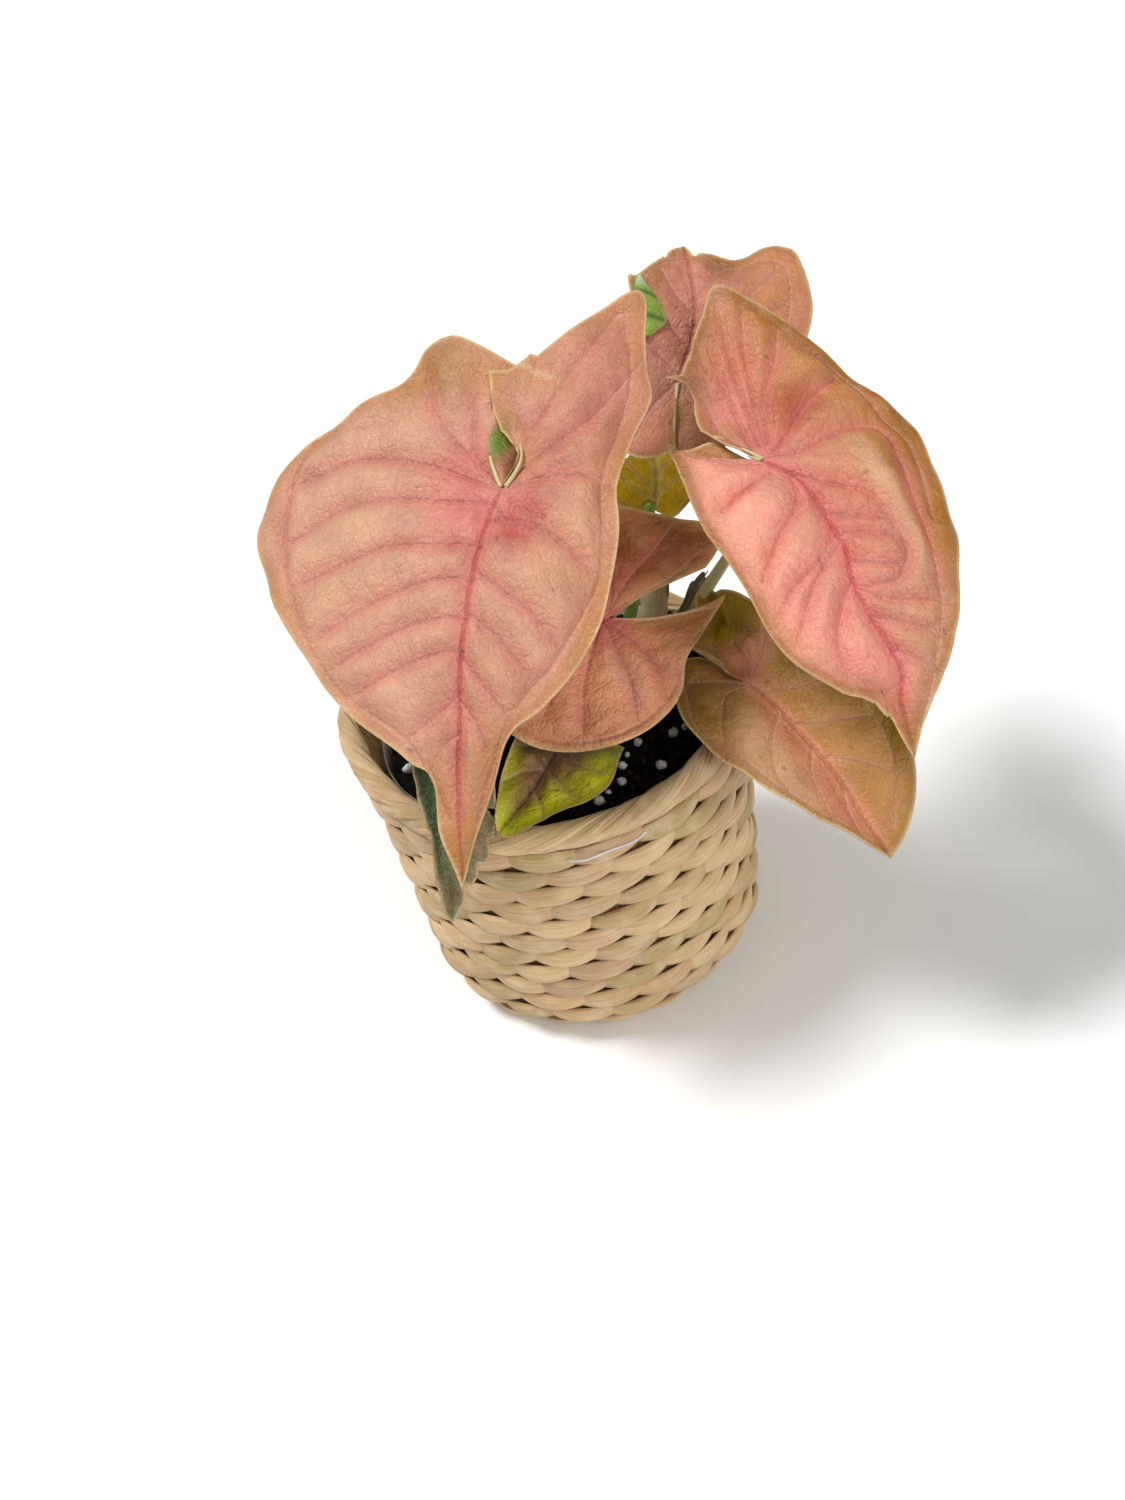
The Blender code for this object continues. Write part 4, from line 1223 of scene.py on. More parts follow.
def half_grid(leaf, look, side):
    """Flat coordinates of one half's rays and rings, before and after rolling."""
    rays, rings = look["grid"]
    depth = np.linspace(INNERMOST_RING, 1.0, rings)[None, :]
    table = outline(look, side)
    angle = even_angles(table, rays // 2 + (side > 0))
    if side < 0:
        angle = angle[:0:-1]
    far = nicked_reach(table, look, side, angle)[:, None]
    angle = angle[:, None]
    spread = angle / table[-1][0]
    distance = depth * far
    turn = np.radians(angle + notch_turn(look, side, spread, distance)) * side
    rolled, height, crease = roll(look, side, angle, far, distance)
    swing, count, phase = leaf["ripple"]
    height = height + swing * depth**3 * np.sin(count * turn + math.radians(phase))
    lift = of_side(look.get("overlap", (0, 0)), side)
    near_notch = smooth_step((spread - OVERLAP_START) / (1 - OVERLAP_START))
    height = height + lift * near_notch * smooth_step(distance / OVERLAP_RISE)
    tuck_side, tuck_start, drop = look.get("tuck", (0, 0, 0))
    tucked = (side == tuck_side) * smooth_step((angle - tuck_start) / TUCK_TURN)
    height = height - drop * tucked * smooth_step(distance / TUCK_RISE)
    x, y = distance * np.cos(turn), distance * np.sin(turn)
    marks = (depth + 0 * turn, crease, np.broadcast_to(tucked, distance.shape))
    placed = np.stack([rolled * np.cos(turn), rolled * np.sin(turn), height], -1)
    return np.stack([x, y, *marks], -1), placed


def leaf_grid(leaf, look):
    """Both halves as one fine grid: (along, right, depth, crease, tuck) and the bent places."""
    halves = [half_grid(leaf, look, side) for side in (-1, 1)]
    return [np.concatenate(parts) for parts in zip(*halves)]


def smooth_line(knots, steps=12):
    """A smooth curve through a few points."""
    knots = np.asarray(knots, float)
    knots = np.vstack([2 * knots[0] - knots[1], knots, 2 * knots[-1] - knots[-2]])
    share = np.linspace(0, 1, steps, endpoint=False)[:, None]
    found = []
    for before, start, end, after in zip(knots, knots[1:], knots[2:], knots[3:]):
        found.append(0.5 * (2 * start + (end - before) * share
                            + (2 * before - 5 * start + 4 * end - after) * share**2
                            + (3 * start - before - 3 * end + after) * share**3))
    return np.vstack(found + [knots[-2:-1]])


def cross_veins(sides, seed):
    """Fine veins that bridge neighbouring side veins."""
    draw = np.random.default_rng(seed)
    found = []
    for number, line in enumerate(sides):
        others = np.vstack([other for index, other in enumerate(sides) if index != number])
        travel = np.concatenate([[0], np.cumsum(np.hypot(*np.diff(line, axis=0).T))])
        for at in np.arange(2.5 + draw.uniform(0, 2), travel[-1], CROSS_VEIN_STEP):
            here = np.array([np.interp(at, travel, line[:, axis]) for axis in (0, 1)])
            away = np.hypot(*(others - here).T)
            far_enough = np.where(away > CROSS_VEIN_REACH[0], away, np.inf)
            there = others[np.argmin(far_enough)]
            gap = np.hypot(*(there - here))
            if gap > CROSS_VEIN_REACH[1]:
                continue
            middle = 0.5 * (here + there) + draw.uniform(-0.14, 0.14, 2) * gap
            found.append(smooth_line([here, middle, there], 8))
    return found


def vein_net(look, seed):
    """Lines of the midrib, of the side veins and of the cross veins."""
    ribs = [smooth_line(look["midrib"])]
    sides = [smooth_line(knots) for knots in look["veins"]]
    return ribs, sides, cross_veins(sides + ribs, seed)


def distances(lines, points):
    """Distance from each flat point to the nearest line, and the same with a sign for its side."""
    dots, ways = [], []
    for line in lines:
        steps = np.hypot(*np.diff(line, axis=0).T)
        travel = np.concatenate([[0], np.cumsum(steps)])
        even = np.arange(0, travel[-1] + 0.01, DOT_STEP)
        dots.append(np.stack([np.interp(even, travel, line[:, axis]) for axis in (0, 1)], 1))
        ways.append(np.gradient(dots[-1], axis=0))
    dots, ways = np.concatenate(dots), np.concatenate(ways)
    ways /= np.maximum(np.hypot(*ways.T), 1e-9)[:, None]
    tree = KDTree(len(dots))
    for number, dot in enumerate(dots):
        tree.insert((dot[0], dot[1], 0), number)
    tree.balance()
    found = [tree.find((x, y, 0)) for x, y in points]
    nearest = np.array([hit[1] for hit in found])
    apart = points - dots[nearest]
    way = ways[nearest]
    return np.array([hit[2] for hit in found]), way[:, 0] * apart[:, 1] - way[:, 1] * apart[:, 0]


def margin_distance(look, flat):
    """Distance to the margin, and to the edges between the lobes where they are apart."""
    half_way = look["grid"][0] // 2
    found = []
    for ray, columns in ((flat[0], slice(0, half_way)), (flat[-1], slice(half_way, None))):
        lines = [flat[:, -1, :2]]
        if "notch" in look:
            away = np.hypot(ray[:, 0], ray[:, 1])
            lines.append(ray[away > NOTCH_START, :2])
        part = flat[columns, :, :2]
        found.append(distances(lines, part.reshape(-1, 2))[0].reshape(part.shape[:2]))
    return np.concatenate(found)


def paint_patches(look, u, v, drift):
    """The middle colour with its soft spots."""
    colour = np.broadcast_to(linear(look["inner"]), (*u.shape, 3)).copy()
    for at_u, at_v, long, wide, patch, strength in look.get("patches", ()):
        away = ((u - at_u) / long) ** 2 + ((v - at_v) / wide) ** 2
        share = strength * np.exp(-(away**1.4)) * np.clip(1 + 0.25 * drift, 0, 1)
        colour = mix(colour, linear(patch), share)
    return colour


def paint_lines(colour, look, fields, drift):
    """Colours along the veins and the margin, the rolled part of a bent margin a little darker, and
    painted shade along its crease.
    """
    side, rib, edge, crease = [fields[name] for name in ("side", "rib", "edge", "crease")]
    inside = smooth_step((edge - 2.0) / 7.0)
    border = hill(edge, look["edge_width"]) * np.clip(0.75 + 0.35 * drift, 0, 1)
    colour = mix(colour, linear(look["vein"]), look["band"] * hill(side, 2.2) * inside)
    colour = mix(colour, linear(look["rib"]), 0.75 * hill(rib, 1.8) * smooth_step(edge / 5))
    colour = mix(colour, linear(look["edge"]), 0.8 * border)
    colour = mix(colour, colour * DARKER["side"], 0.4 * hill(side, 0.5) * inside)
    colour = mix(colour, colour * DARKER["rib"], 0.5 * hill(rib, 0.4))
    colour = mix(colour, linear(look["edge"]) * 0.85, 0.4 * smooth_step(crease / 0.8))
    # Painted shade: a dark line along the crease.
    return mix(colour, colour * DARKER["crease"], 0.6 * hill(crease, 0.5))


def paint_top(look, fields, seed):
    """Colours of the upper side."""
    u, v, tuck = fields["u"], fields["v"], fields["tuck"]
    drift = waves(u, v, 14, seed + 1)
    colour = paint_lines(paint_patches(look, u, v, drift), look, fields, drift)
    marks = (
        ("tucked", 0.9 * tuck),
        ("tuck_shade", 0.9 * tuck * hill(np.hypot(u, v) - TUCK_RISE, 2.8)),
        ("dry_edge", 0.85 * hill(fields["edge"], 0.5)),
        ("cream", np.clip(waves(u, v, 3.2, seed + 2) * 0.5, 0, 1) * 0.1),
    )
    for tint, share in marks:
        colour = mix(colour, linear(TINTS[tint]), share)
    shade = 1 + 0.05 * waves(u, v, 7, seed + 3)
    return np.clip(colour * shade[..., None], DARKEST, 1)


def paint_under(look, fields, seed):
    """Colours of the lower side."""
    u, v = fields["u"], fields["v"]
    colour = np.broadcast_to(linear(look["under"]), (*u.shape, 3)).copy()
    pale = linear(look["under"]) * 0.5 + linear(TINTS["under_vein"]) * 0.5
    colour = mix(colour, pale, 0.8 * hill(fields["rib"], 1.3))
    colour = mix(colour, pale, 0.45 * hill(fields["side"], 0.7))
    colour = mix(colour, colour * 0.8, 0.5 * hill(fields["cross"], 0.6))
    colour = mix(colour, linear(TINTS["under_edge"]), 0.6 * hill(fields["edge"], 0.8))
    shade = 1 + 0.09 * waves(u, v, 6, seed + 5)
    return np.clip(colour * shade[..., None], DARKEST, 1)


def specks(fields, colour, seed):
    """A few small brown dots."""
    draw = np.random.default_rng(seed)
    u, v = fields["u"], fields["v"]
    low, high = u.min(), u.max()
    for _ in range(SPECKS):
        at_u = draw.uniform(low, high)
        at_v = draw.uniform(v.min(), v.max())
        size = draw.uniform(0.3, 0.5)
        dot = 0.85 * hill(np.hypot(u - at_u, v - at_v), size)
        colour = mix(colour, linear(TINTS["speck"]), dot)
    return colour


def relief(look, fields, seed):
    """Height of the blade over its smooth form."""
    u, v, edge = fields["u"], fields["v"], fields["edge"]
    side_puff, cross_puff = look["puff"]
    swell = 1 - hill(np.minimum(fields["rib"], fields["side"]), VEIN_VALLEY)
    away = smooth_step(np.hypot(u, v) / JOINT_CALM)
    height = side_puff * swell * (0.8 + 0.35 * waves(u, v, 9, seed + 7))
    height += cross_puff * (1 - hill(fields["cross"], CROSS_VALLEY)) * swell
    height -= 0.25 * side_puff * hill(fields["side"], 0.6)
    height += 0.4 * waves(u, v, 13, seed + 8)
    height += 0.12 * waves(u, v, 2.4, seed + 9)
    height = height * away * (0.35 + 0.65 * smooth_step(edge / 6))
    rim = smooth_step(1 - edge / MARGIN_REACH) * away
    height += look.get("ruffle", RUFFLE) * rim * waves(u, v, 8, seed + 10)
    return height - side_puff * 0.6 * away


def leaf_fields(look, flat, seed):
    """What the paint and the relief need at each point, and signed distances to the veins."""
    points = flat[..., :2].reshape(-1, 2)
    fields = dict(zip(("u", "v", "depth", "crease", "tuck"), np.moveaxis(flat, -1, 0)))
    fields["edge"] = margin_distance(look, flat)
    across = []
    for kind, lines in zip(VEIN_KINDS, vein_net(look, seed)):
        away, signed = distances(lines, points)
        fields[kind] = away.reshape(flat.shape[:2])
        across.append(signed)
    return fields, np.column_stack(across)


def blade_height(look, fields, placed, seed):
    """Height over the leaf's bent plane, with a groove along the midrib."""
    height = placed[..., 2] + relief(look, fields, seed)
    groove = MIDRIB_DEPTH * hill(fields["rib"], MIDRIB_WIDTH) + 0.3 * hill(fields["rib"], 0.7)
    inside = smooth_step((1 - fields["depth"]) * 4)
    return height - groove * smooth_step(fields["u"] / MIDRIB_START) * inside


def blade_thickness(fields):
    """Thin at the margin and thicker under the veins."""
    thick = 0.42 - 0.2 * hill(fields["edge"], 1.2)
    thick = thick + 0.9 * hill(fields["rib"], 0.9) * smooth_step(fields["edge"] / 25 + 0.1)
    return thick + 0.22 * hill(fields["side"], 0.6) * smooth_step(fields["edge"] / 6)


def paint_blade(piece, look, fields, across, seed):
    """Write the colours of both sides, the flat places and the distances to the veins."""
    upper = specks(fields, paint_top(look, fields, seed), seed + 4)
    lower = paint_under(look, fields, seed)
    write_colours(piece.data, "tint", np.concatenate([upper.reshape(-1, 3), lower.reshape(-1, 3)]))
    points = np.column_stack([fields["u"].ravel(), fields["v"].ravel()])
    sheet = np.concatenate([points, points + UNDER_SHIFT])
    write_vectors(piece.data, "flat", np.column_stack([sheet, np.full(len(sheet), seed)]))
    near = np.column_stack([fields[kind].ravel() for kind in VEIN_KINDS])
    write_vectors(piece.data, "vein_near", both_sides(near))
    write_vectors(piece.data, "vein_across", both_sides(across))


def dress_leaf(name, made, seed):
    """One blade."""
    leaf = LEAVES[name]
    look = LOOKS[name]
    flat, placed = leaf_grid(leaf, look)
    fields, across = leaf_fields(look, flat, seed)
    height = blade_height(look, fields, placed, seed)
    top = leaf_points(leaf, placed[..., 0].ravel(), placed[..., 1].ravel(), height.ravel())
    top = top.reshape(*height.shape, 3)
    points, faces = shell(top, blade_thickness(fields), leaf["face"])
    blade = name.replace("leaf", "blade")
    piece = make_piece(blade, points, faces, made, [name + "_blade"])
    paint_blade(piece, look, fields, across, seed)


# Stalks, ribs and sheaths


def tube(path, radii, sides, section=None):
    """Points, faces and (along, around) places of a round tube with closed ends."""
    path = np.asarray(path, float)
    ahead = units(np.gradient(path, axis=0))
    side = unit(np.cross(ahead[0], TUBE_START))
    rings, places = [], []
    travel = np.concatenate([[0], np.cumsum(np.linalg.norm(np.diff(path, axis=0), axis=1))])
    turn = np.linspace(0, math.tau, sides, endpoint=False)
    shape = np.ones(sides) if section is None else section(turn)
    for point, direction, radius, gone in zip(path, ahead, radii, travel):
        side = unit(side - (side @ direction) * direction)
        other = np.cross(direction, side)
        ring = np.outer(np.cos(turn) * shape, side) + np.outer(np.sin(turn) * shape, other)
        rings.append(point + radius * ring)
        places.append(np.column_stack([np.full(sides, gone), turn * radius, np.zeros(sides)]))
    count = len(path)
    points = np.array(rings).transpose(1, 0, 2).reshape(-1, 3)
    places = np.array(places).transpose(1, 0, 2).reshape(-1, 3)
    faces = grid_faces(sides, count, closed=True, flip=True)
    faces.append([number * count for number in range(sides)])
    faces.append([number * count + count - 1 for number in range(sides - 1, -1, -1)])
    return points, faces, places


def stalk_path(leaf):
    """The same route as the solid stalk, in finer steps."""
    foot = np.array([*leaf["foot"], SOIL_TOP - HOLE_DEPTH])
    share = PETIOLE_SEAT / math.dist(leaf["joint"], leaf["tip"])
    middle, _, normal = midrib(leaf, np.array([share]))
    groove = MIDRIB_DEPTH * smooth_step((PETIOLE_SEAT + PETIOLE_TOP) / MIDRIB_START)
    seat = middle[0] - normal[0] * (BLADE_THICKNESS + SEAT_GAP + groove - 0.3)
    first = foot + np.array(leaf["out"])
    second = seat + np.array(leaf["elbow"])
    share = np.linspace(0, 1, STALK_STATIONS)[:, None]
    rest = 1 - share
    path = rest**3 * foot + 3 * rest**2 * share * first
    path = path + 3 * rest * share**2 * second + share**3 * seat
    leaving = smooth_step((path[:, 2:] - SOIL_TOP - 2) / STEM_RISE)
    path[:, :2] = foot[:2] + (path[:, :2] - foot[:2]) * leaving
    neck = seat - normal[0] * PETIOLE_NECK
    near = smooth_step((share[:, 0] - 0.9) / 0.1)[:, None]
    straight = neck + (seat - neck) * np.clip((share - 0.95) / 0.05, 0, 1)
    return path * (1 - near * (share > 0.95)) + straight * near * (share > 0.95)


def dress_stalk(name, made, seed):
    """One stalk, wider at the foot and with a shallow groove along it."""
    path = stalk_path(LEAVES[name])
    share = np.linspace(0, 1, len(path))
    radii = PETIOLE_BASE + (PETIOLE_TOP - PETIOLE_BASE) * share
    radii = radii + 0.25 * hill(share - 0.97, 0.035) - 0.25 * hill(share - 0.85, 0.05)
    radii = radii + 0.07 * np.sin(share * 19 + seed)

    def section(turn):
        return 1 - 0.16 * hill(np.angle(np.exp(1j * (turn - 1.5))), 0.5)

    points, faces, places = tube(path, radii, STALK_SIDES, section)
    stalk = name.replace("leaf", "stalk")
    piece = make_piece(stalk, points, faces, made, [name + "_petiole"])
    low, high = STALKS[name]
    low = np.broadcast_to(linear(low), (len(points), 3))
    colours = mix(low, linear(high), smooth_step(np.tile(share, STALK_SIDES) * 1.1))
    write_colours(piece.data, "tint", colours)
    write_vectors(piece.data, "lay", places + (0, 0, seed))


def dress_bare_ribs(name, made):
    """Bare pale ribs that leave the joint along the notch between the lobes."""
    points, faces, places = [], [], []
    start = 0
    for knots in LOOKS[name]["bare"]:
        line = smooth_line(knots)
        share = np.linspace(0, 1, len(line))
        height = BARE_RIB["lift"] - BARE_RIB["drop"] * share
        path = leaf_points(LEAVES[name], line[:, 0], line[:, 1], height)
        radii = BARE_RIB["radius"] - BARE_RIB["taper"] * share
        rib_points, rib_faces, rib_places = tube(path, radii, BARE_RIB["sides"])
        points.append(rib_points)
        places.append(rib_places)
        faces += [[number + start for number in face] for face in rib_faces]
        start += len(rib_points)
    points = np.concatenate(points)
    piece = make_piece(name.replace("leaf", "ribs"), points, faces, made)
    colours = np.broadcast_to(linear(TINTS["bare_rib"]), (len(points), 3))
    write_colours(piece.data, "tint", colours)
    write_vectors(piece.data, "lay", np.concatenate(places))


def curl_colours(along, share):
    """Green with a pale end, painted shade along two creases and a dry free edge."""
    colour = np.broadcast_to(linear(TINTS["curl"]), (len(along), len(share), 3)).copy()
    # Painted shade: two dark lines across the curl where it creases.
    creases = hill(along - 0.4, 0.035) + hill(along - 0.74, 0.04)
    marks = (("curl_pale", smooth_step((0.36 - along) / 0.2)), ("curl_crease_shade", 0.85 * creases),
             ("curl_edge", smooth_step((share - 0.93) / 0.05)))
    for tint, strength in marks:
        colour = mix(colour, linear(TINTS[tint]), strength * np.ones(colour.shape[:2]))
    return colour.reshape(-1, 3)


def dress_curl(name, made, seed):
    """The part of a side lobe that has curled over and shows its green underside."""
    outer = smooth_line(CURL["crease"])
    inner = smooth_line(CURL["free"])
    share = np.linspace(0, 1, CURL["rows"])
    lines = outer[:, None] * (1 - share)[:, None] + inner[:, None] * share[:, None]
    u, v = lines[..., 0], lines[..., 1]
    along = np.linspace(0, 1, len(outer))[:, None]
    arch = np.sin(math.pi * share**0.7) * (0.5 + 0.5 * np.sin(math.pi * along))
    height = CURL["rise"] * arch + 0.5 * share + 0.4
    height = height - 0.9 * hill(along - 0.62, 0.1) * share + 0.15 * waves(u, v, 3, seed)
    grid = leaf_points(LEAVES[name], u.ravel(), v.ravel(), height.ravel()).reshape(*u.shape, 3)
    points, faces = shell(grid, np.full(u.shape, 0.3), LEAVES[name]["face"])
    piece = make_piece("curl_back", points, faces, made)
    write_colours(piece.data, "tint", both_sides(curl_colours(along, share)))
    flat = np.column_stack([u.ravel(), v.ravel(), np.full(u.size, seed)])
    write_vectors(piece.data, "flat", both_sides(flat))
    for distance in ("vein_near", "vein_across"):
        write_vectors(piece.data, distance, np.full((2 * u.size, 3), NOWHERE))


def points_at(path, heights):
    """Points on a rising path at some heights."""
    return np.stack([np.interp(heights, path[:, 2], path[:, axis]) for axis in range(3)], -1)


def dress_sheath(name, made, seed):
    """A dry open sheath with a ragged, wavy top."""
    leaf_name, top, opening, low, high = SHEATHS[name]
    path = stalk_path(LEAVES[leaf_name])
    wide, tall = SHEATH_GRID
    across, climb = np.meshgrid(np.linspace(-1, 1, wide), np.linspace(0, 1, tall), indexing="ij")
    bottom = SOIL_TOP + SHEATH_LIFT
    ragged = 1 + 0.05 * waves(across * 10, climb * 0, 2.0, seed) - 0.12 * np.abs(across) ** 3
    heights = bottom + (top - bottom) * climb * ragged
    centre = points_at(path, heights)
    ahead = units(points_at(path, heights + 1) - centre)
    side = units(np.cross(ahead, [0.0, 1.0, 0.0]))
    front = np.cross(side, ahead)
    narrow = 1 - SHEATH_NARROWING * climb**2
    turn = opening + math.pi + across * SHEATH_SPREAD / 2 * narrow
    radius = PETIOLE_BASE + SHEATH_CLEARANCE + BLADE_THICKNESS + SHEATH_BELLY * climb * (1 - climb)
    radius = radius + 0.25 * waves(across * 6, climb * 20, 3.0, seed + 1) * climb
    radius = radius + 1.6 * climb**2 * across**2
    ring = side * np.cos(turn)[..., None] + front * np.sin(turn)[..., None]
    grid = centre + ring * radius[..., None]
    points, faces = shell(grid, np.full(across.shape, SHEATH_SKIN), ring[wide // 2, tall // 2])
    piece = make_piece(name + "_skin", points, faces, made, [name])
    low = np.broadcast_to(linear(low), (*across.shape, 3))
    colours = mix(low, linear(high), np.clip(np.abs(across), 0, 1) * 0.8)
    write_colours(piece.data, "tint", both_sides(colours.reshape(-1, 3)))
    lay = np.stack([climb * SHEATH_LENGTH, across * 6, 0 * climb + seed], -1)
    write_vectors(piece.data, "lay", both_sides(lay.reshape(-1, 3)))


# Basket


def outer_radius(height):
    """The basket's outer radius at a height, with a rounded bottom corner."""
    height = np.asarray(height, float)
    flared = BASE_RADIUS + (RIM_RADIUS - BASE_RADIUS) * height / BASKET_HEIGHT
    drop = np.clip(BASE_CORNER - height, 0, BASE_CORNER)
    return flared - BASE_CORNER + np.sqrt(BASE_CORNER**2 - drop**2)


def bulge(angle, height):
    """How far the rim is pressed out of round at an angle."""
    away = np.angle(np.exp(1j * (angle - BULGE_ANGLE))) / BULGE_WIDTH
    rise = smooth_step((np.asarray(height) - BULGE_START) / (BASKET_HEIGHT - BULGE_START))
    return BULGE_DEPTH * np.exp(-(away**2)) * rise


def on_wall(angle, height, out):
    """A point on the basket's wall, `out` millimetres proud of it."""
    radius = outer_radius(height) + bulge(angle, height) + out
    return np.stack([radius * np.cos(angle), radius * np.sin(angle), height + 0 * angle], -1)


def strands(name, strokes, shades, made, seed, nodes=()):
    """Flat bundles of fibre, one closed strand for each stroke: its points, the directions
    across and outward, its half widths and its half depths."""
    draw = np.random.default_rng(seed)
    sides, stations = STRAND_SIDES, len(strokes[0][0])
    turn = np.linspace(0, math.tau, sides, endpoint=False)
    furrows = draw.uniform(0, math.tau, (len(strokes), 1))
    points, faces, lay, tints = [], [], [], []
    for number, (centre, across, outward, half_width, half_depth) in enumerate(strokes):
        furrow = furrows[number]
        ridge = 1 + 0.07 * np.cos(5 * turn + furrow) + 0.05 * np.cos(3 * turn + 2 * furrow)
        flat = half_width[None, :] * (np.cos(turn) * ridge)[:, None]
        tall = half_depth[None, :] * (np.sin(turn) * ridge)[:, None]
        ring = centre[None] + across[None] * flat[..., None] + outward[None] * tall[..., None]
        points.append(ring.reshape(-1, 3))
        start = number * sides * stations
        faces += grid_faces(sides, stations, start, closed=True)
        faces.append([start + side * stations for side in range(sides - 1, -1, -1)])
        faces.append([start + side * stations + stations - 1 for side in range(sides)])
        travel = np.linspace(0, np.linalg.norm(centre[-1] - centre[0]), stations)
        shift = [number * step for step in STRAND_SHIFT]
        place = np.broadcast_arrays(travel[None, :] + shift[0], flat, shift[1])
        lay.append(np.stack(place, -1).reshape(-1, 3))
        tints.append(np.broadcast_to(shades[number], (sides * stations, 3)))
    piece = make_piece(name, np.concatenate(points), faces, made, nodes)
    write_colours(piece.data, "tint", np.concatenate(tints))
    write_vectors(piece.data, "lay", np.concatenate(lay))


def straw_colours(count, seed):
    """Pale tan, cream, greenish and pinkish straw, one for each strand."""
    draw = np.random.default_rng(seed)
    shades = np.array([linear(colour) for colour in STRAW])
    picks = draw.choice(len(shades), count, p=STRAW_SHARES)
    bright = draw.uniform(0.82, 1.1, (count, 1))
    return np.clip(shades[picks] * bright, 0, 1)


def wall_stroke(row, stroke, share, draw):
    """One stroke of the wall."""
    pitch = math.tau / STROKES_PER_ROW
    middle = (stroke + 0.5 - 0.5 * (row % 2) - 0.15) * pitch + draw.uniform(-0.03, 0.03)
    angle = middle + (share - 0.5) * pitch * draw.uniform(*WALL_STROKE["length"])
    tilt = draw.uniform(-0.2, 0.9)
    height = (row + 0.5) * (WEAVE_TOP / WEAVE_ROWS) + tilt * (share - 0.5) * 2
    height = np.clip(height + draw.uniform(-0.25, 0.25), LOWEST_STROKE, None)
    arch = np.sin(math.pi * share)
    out = -1.15 + 1.75 * arch**0.8 + draw.uniform(-0.15, 0.25)
    line = on_wall(angle, height, out)
    slope = units(on_wall(angle, height + 0.5, out) - on_wall(angle, height - 0.5, out))
    facing = units(np.cross(units(np.gradient(line, axis=0)), slope))
    widths = (0.42 + 0.58 * arch**0.6) * draw.uniform(*WALL_STROKE["width"])
    depths = (0.5 + 0.5 * arch) * draw.uniform(*WALL_STROKE["depth"])
    return line, slope, facing, widths, depths


def dress_wall(made):
    """The woven wall: rows of flat strokes that dive in at their ends."""
    draw = np.random.default_rng(11)
    share = np.linspace(0, 1, WALL_STROKE["stations"])
    strokes = []
    for row in range(WEAVE_ROWS):
        for stroke in range(STROKES_PER_ROW):
            strokes.append(wall_stroke(row, stroke, share, draw))
    shades = straw_colours(len(strokes), 12)
    strands("basket_weave", strokes, shades, made, 13, ["basket_wall"])


def dress_base(made):
    """Rings of strokes under the basket."""
    draw = np.random.default_rng(21)
    share = np.linspace(0, 1, BASE_STROKE["stations"])
    arch = np.sin(math.pi * share)
    down = np.tile((0.0, 0.0, -1.0), (len(share), 1))
    strokes = []
    for ring, radius in enumerate(BASE_RINGS):
        number = max(3, round(math.tau * radius / BASE_STROKE_PITCH))
        pitch = math.tau / number
        for stroke in range(number):
            middle = (stroke + 0.5 * (ring % 2)) * pitch
            angle = middle + (share - 0.5) * pitch * BASE_STROKE["length"]
            line = np.stack([radius * np.cos(angle), radius * np.sin(angle), 1.5 - 0.35 * arch], -1)
            side = np.stack([np.cos(angle), np.sin(angle), 0 * angle], -1)
            widths = (0.5 + 0.5 * arch**0.6) * draw.uniform(*BASE_STROKE["width"])
            depths = (0.6 + 0.4 * arch) * draw.uniform(*BASE_STROKE["depth"])
            strokes.append((line, side, down, widths, depths))
    strands("basket_underside", strokes, straw_colours(len(strokes), 22), made, 23)


def rim_stroke(index, share, draw):
    """One strand of the border, from the outside over the edge to the inside."""
    pitch = math.tau / RIM_STROKES
    start = index * pitch + draw.uniform(-0.03, 0.03)
    angle = start + share * pitch * draw.uniform(*RIM_STROKE["length"])
    turn = RIM_START + RIM_SWEEP * share + 0.12 * draw.uniform(-1, 1)
    rise = 2.35 + 0.35 * np.sin(math.pi * share) + draw.uniform(-0.15, 0.2)
    ring = RIM_RADIUS - WALL_THICKNESS / 2 + 0.4
    out = ring + bulge(angle, BASKET_HEIGHT) + rise * np.cos(turn)
    height = BASKET_HEIGHT - RIM_ROUND + rise * np.sin(turn)
    line = np.stack([out * np.cos(angle), out * np.sin(angle), height], -1)
    facing = [np.cos(turn) * np.cos(angle), np.cos(turn) * np.sin(angle), np.sin(turn)]
    along = units(np.gradient(line, axis=0))
    side = units(np.cross(np.stack(facing, -1), along))
    arch = np.sin(math.pi * share) ** 0.5
    widths = (0.45 + 0.55 * arch) * draw.uniform(*RIM_STROKE["width"])
    depths = (0.6 + 0.4 * arch) * draw.uniform(*RIM_STROKE["depth"])
    return line, -side, np.cross(along, side), widths, depths


def dress_rim(made):
    """The folded border: flat strands that pass over the edge one after another."""
    draw = np.random.default_rng(31)
    share = np.linspace(0, 1, RIM_STROKE["stations"])
    strokes = [rim_stroke(index, share, draw) for index in range(RIM_STROKES)]
    strands("basket_border", strokes, straw_colours(RIM_STROKES, 32), made, 33, ["basket_rim"])


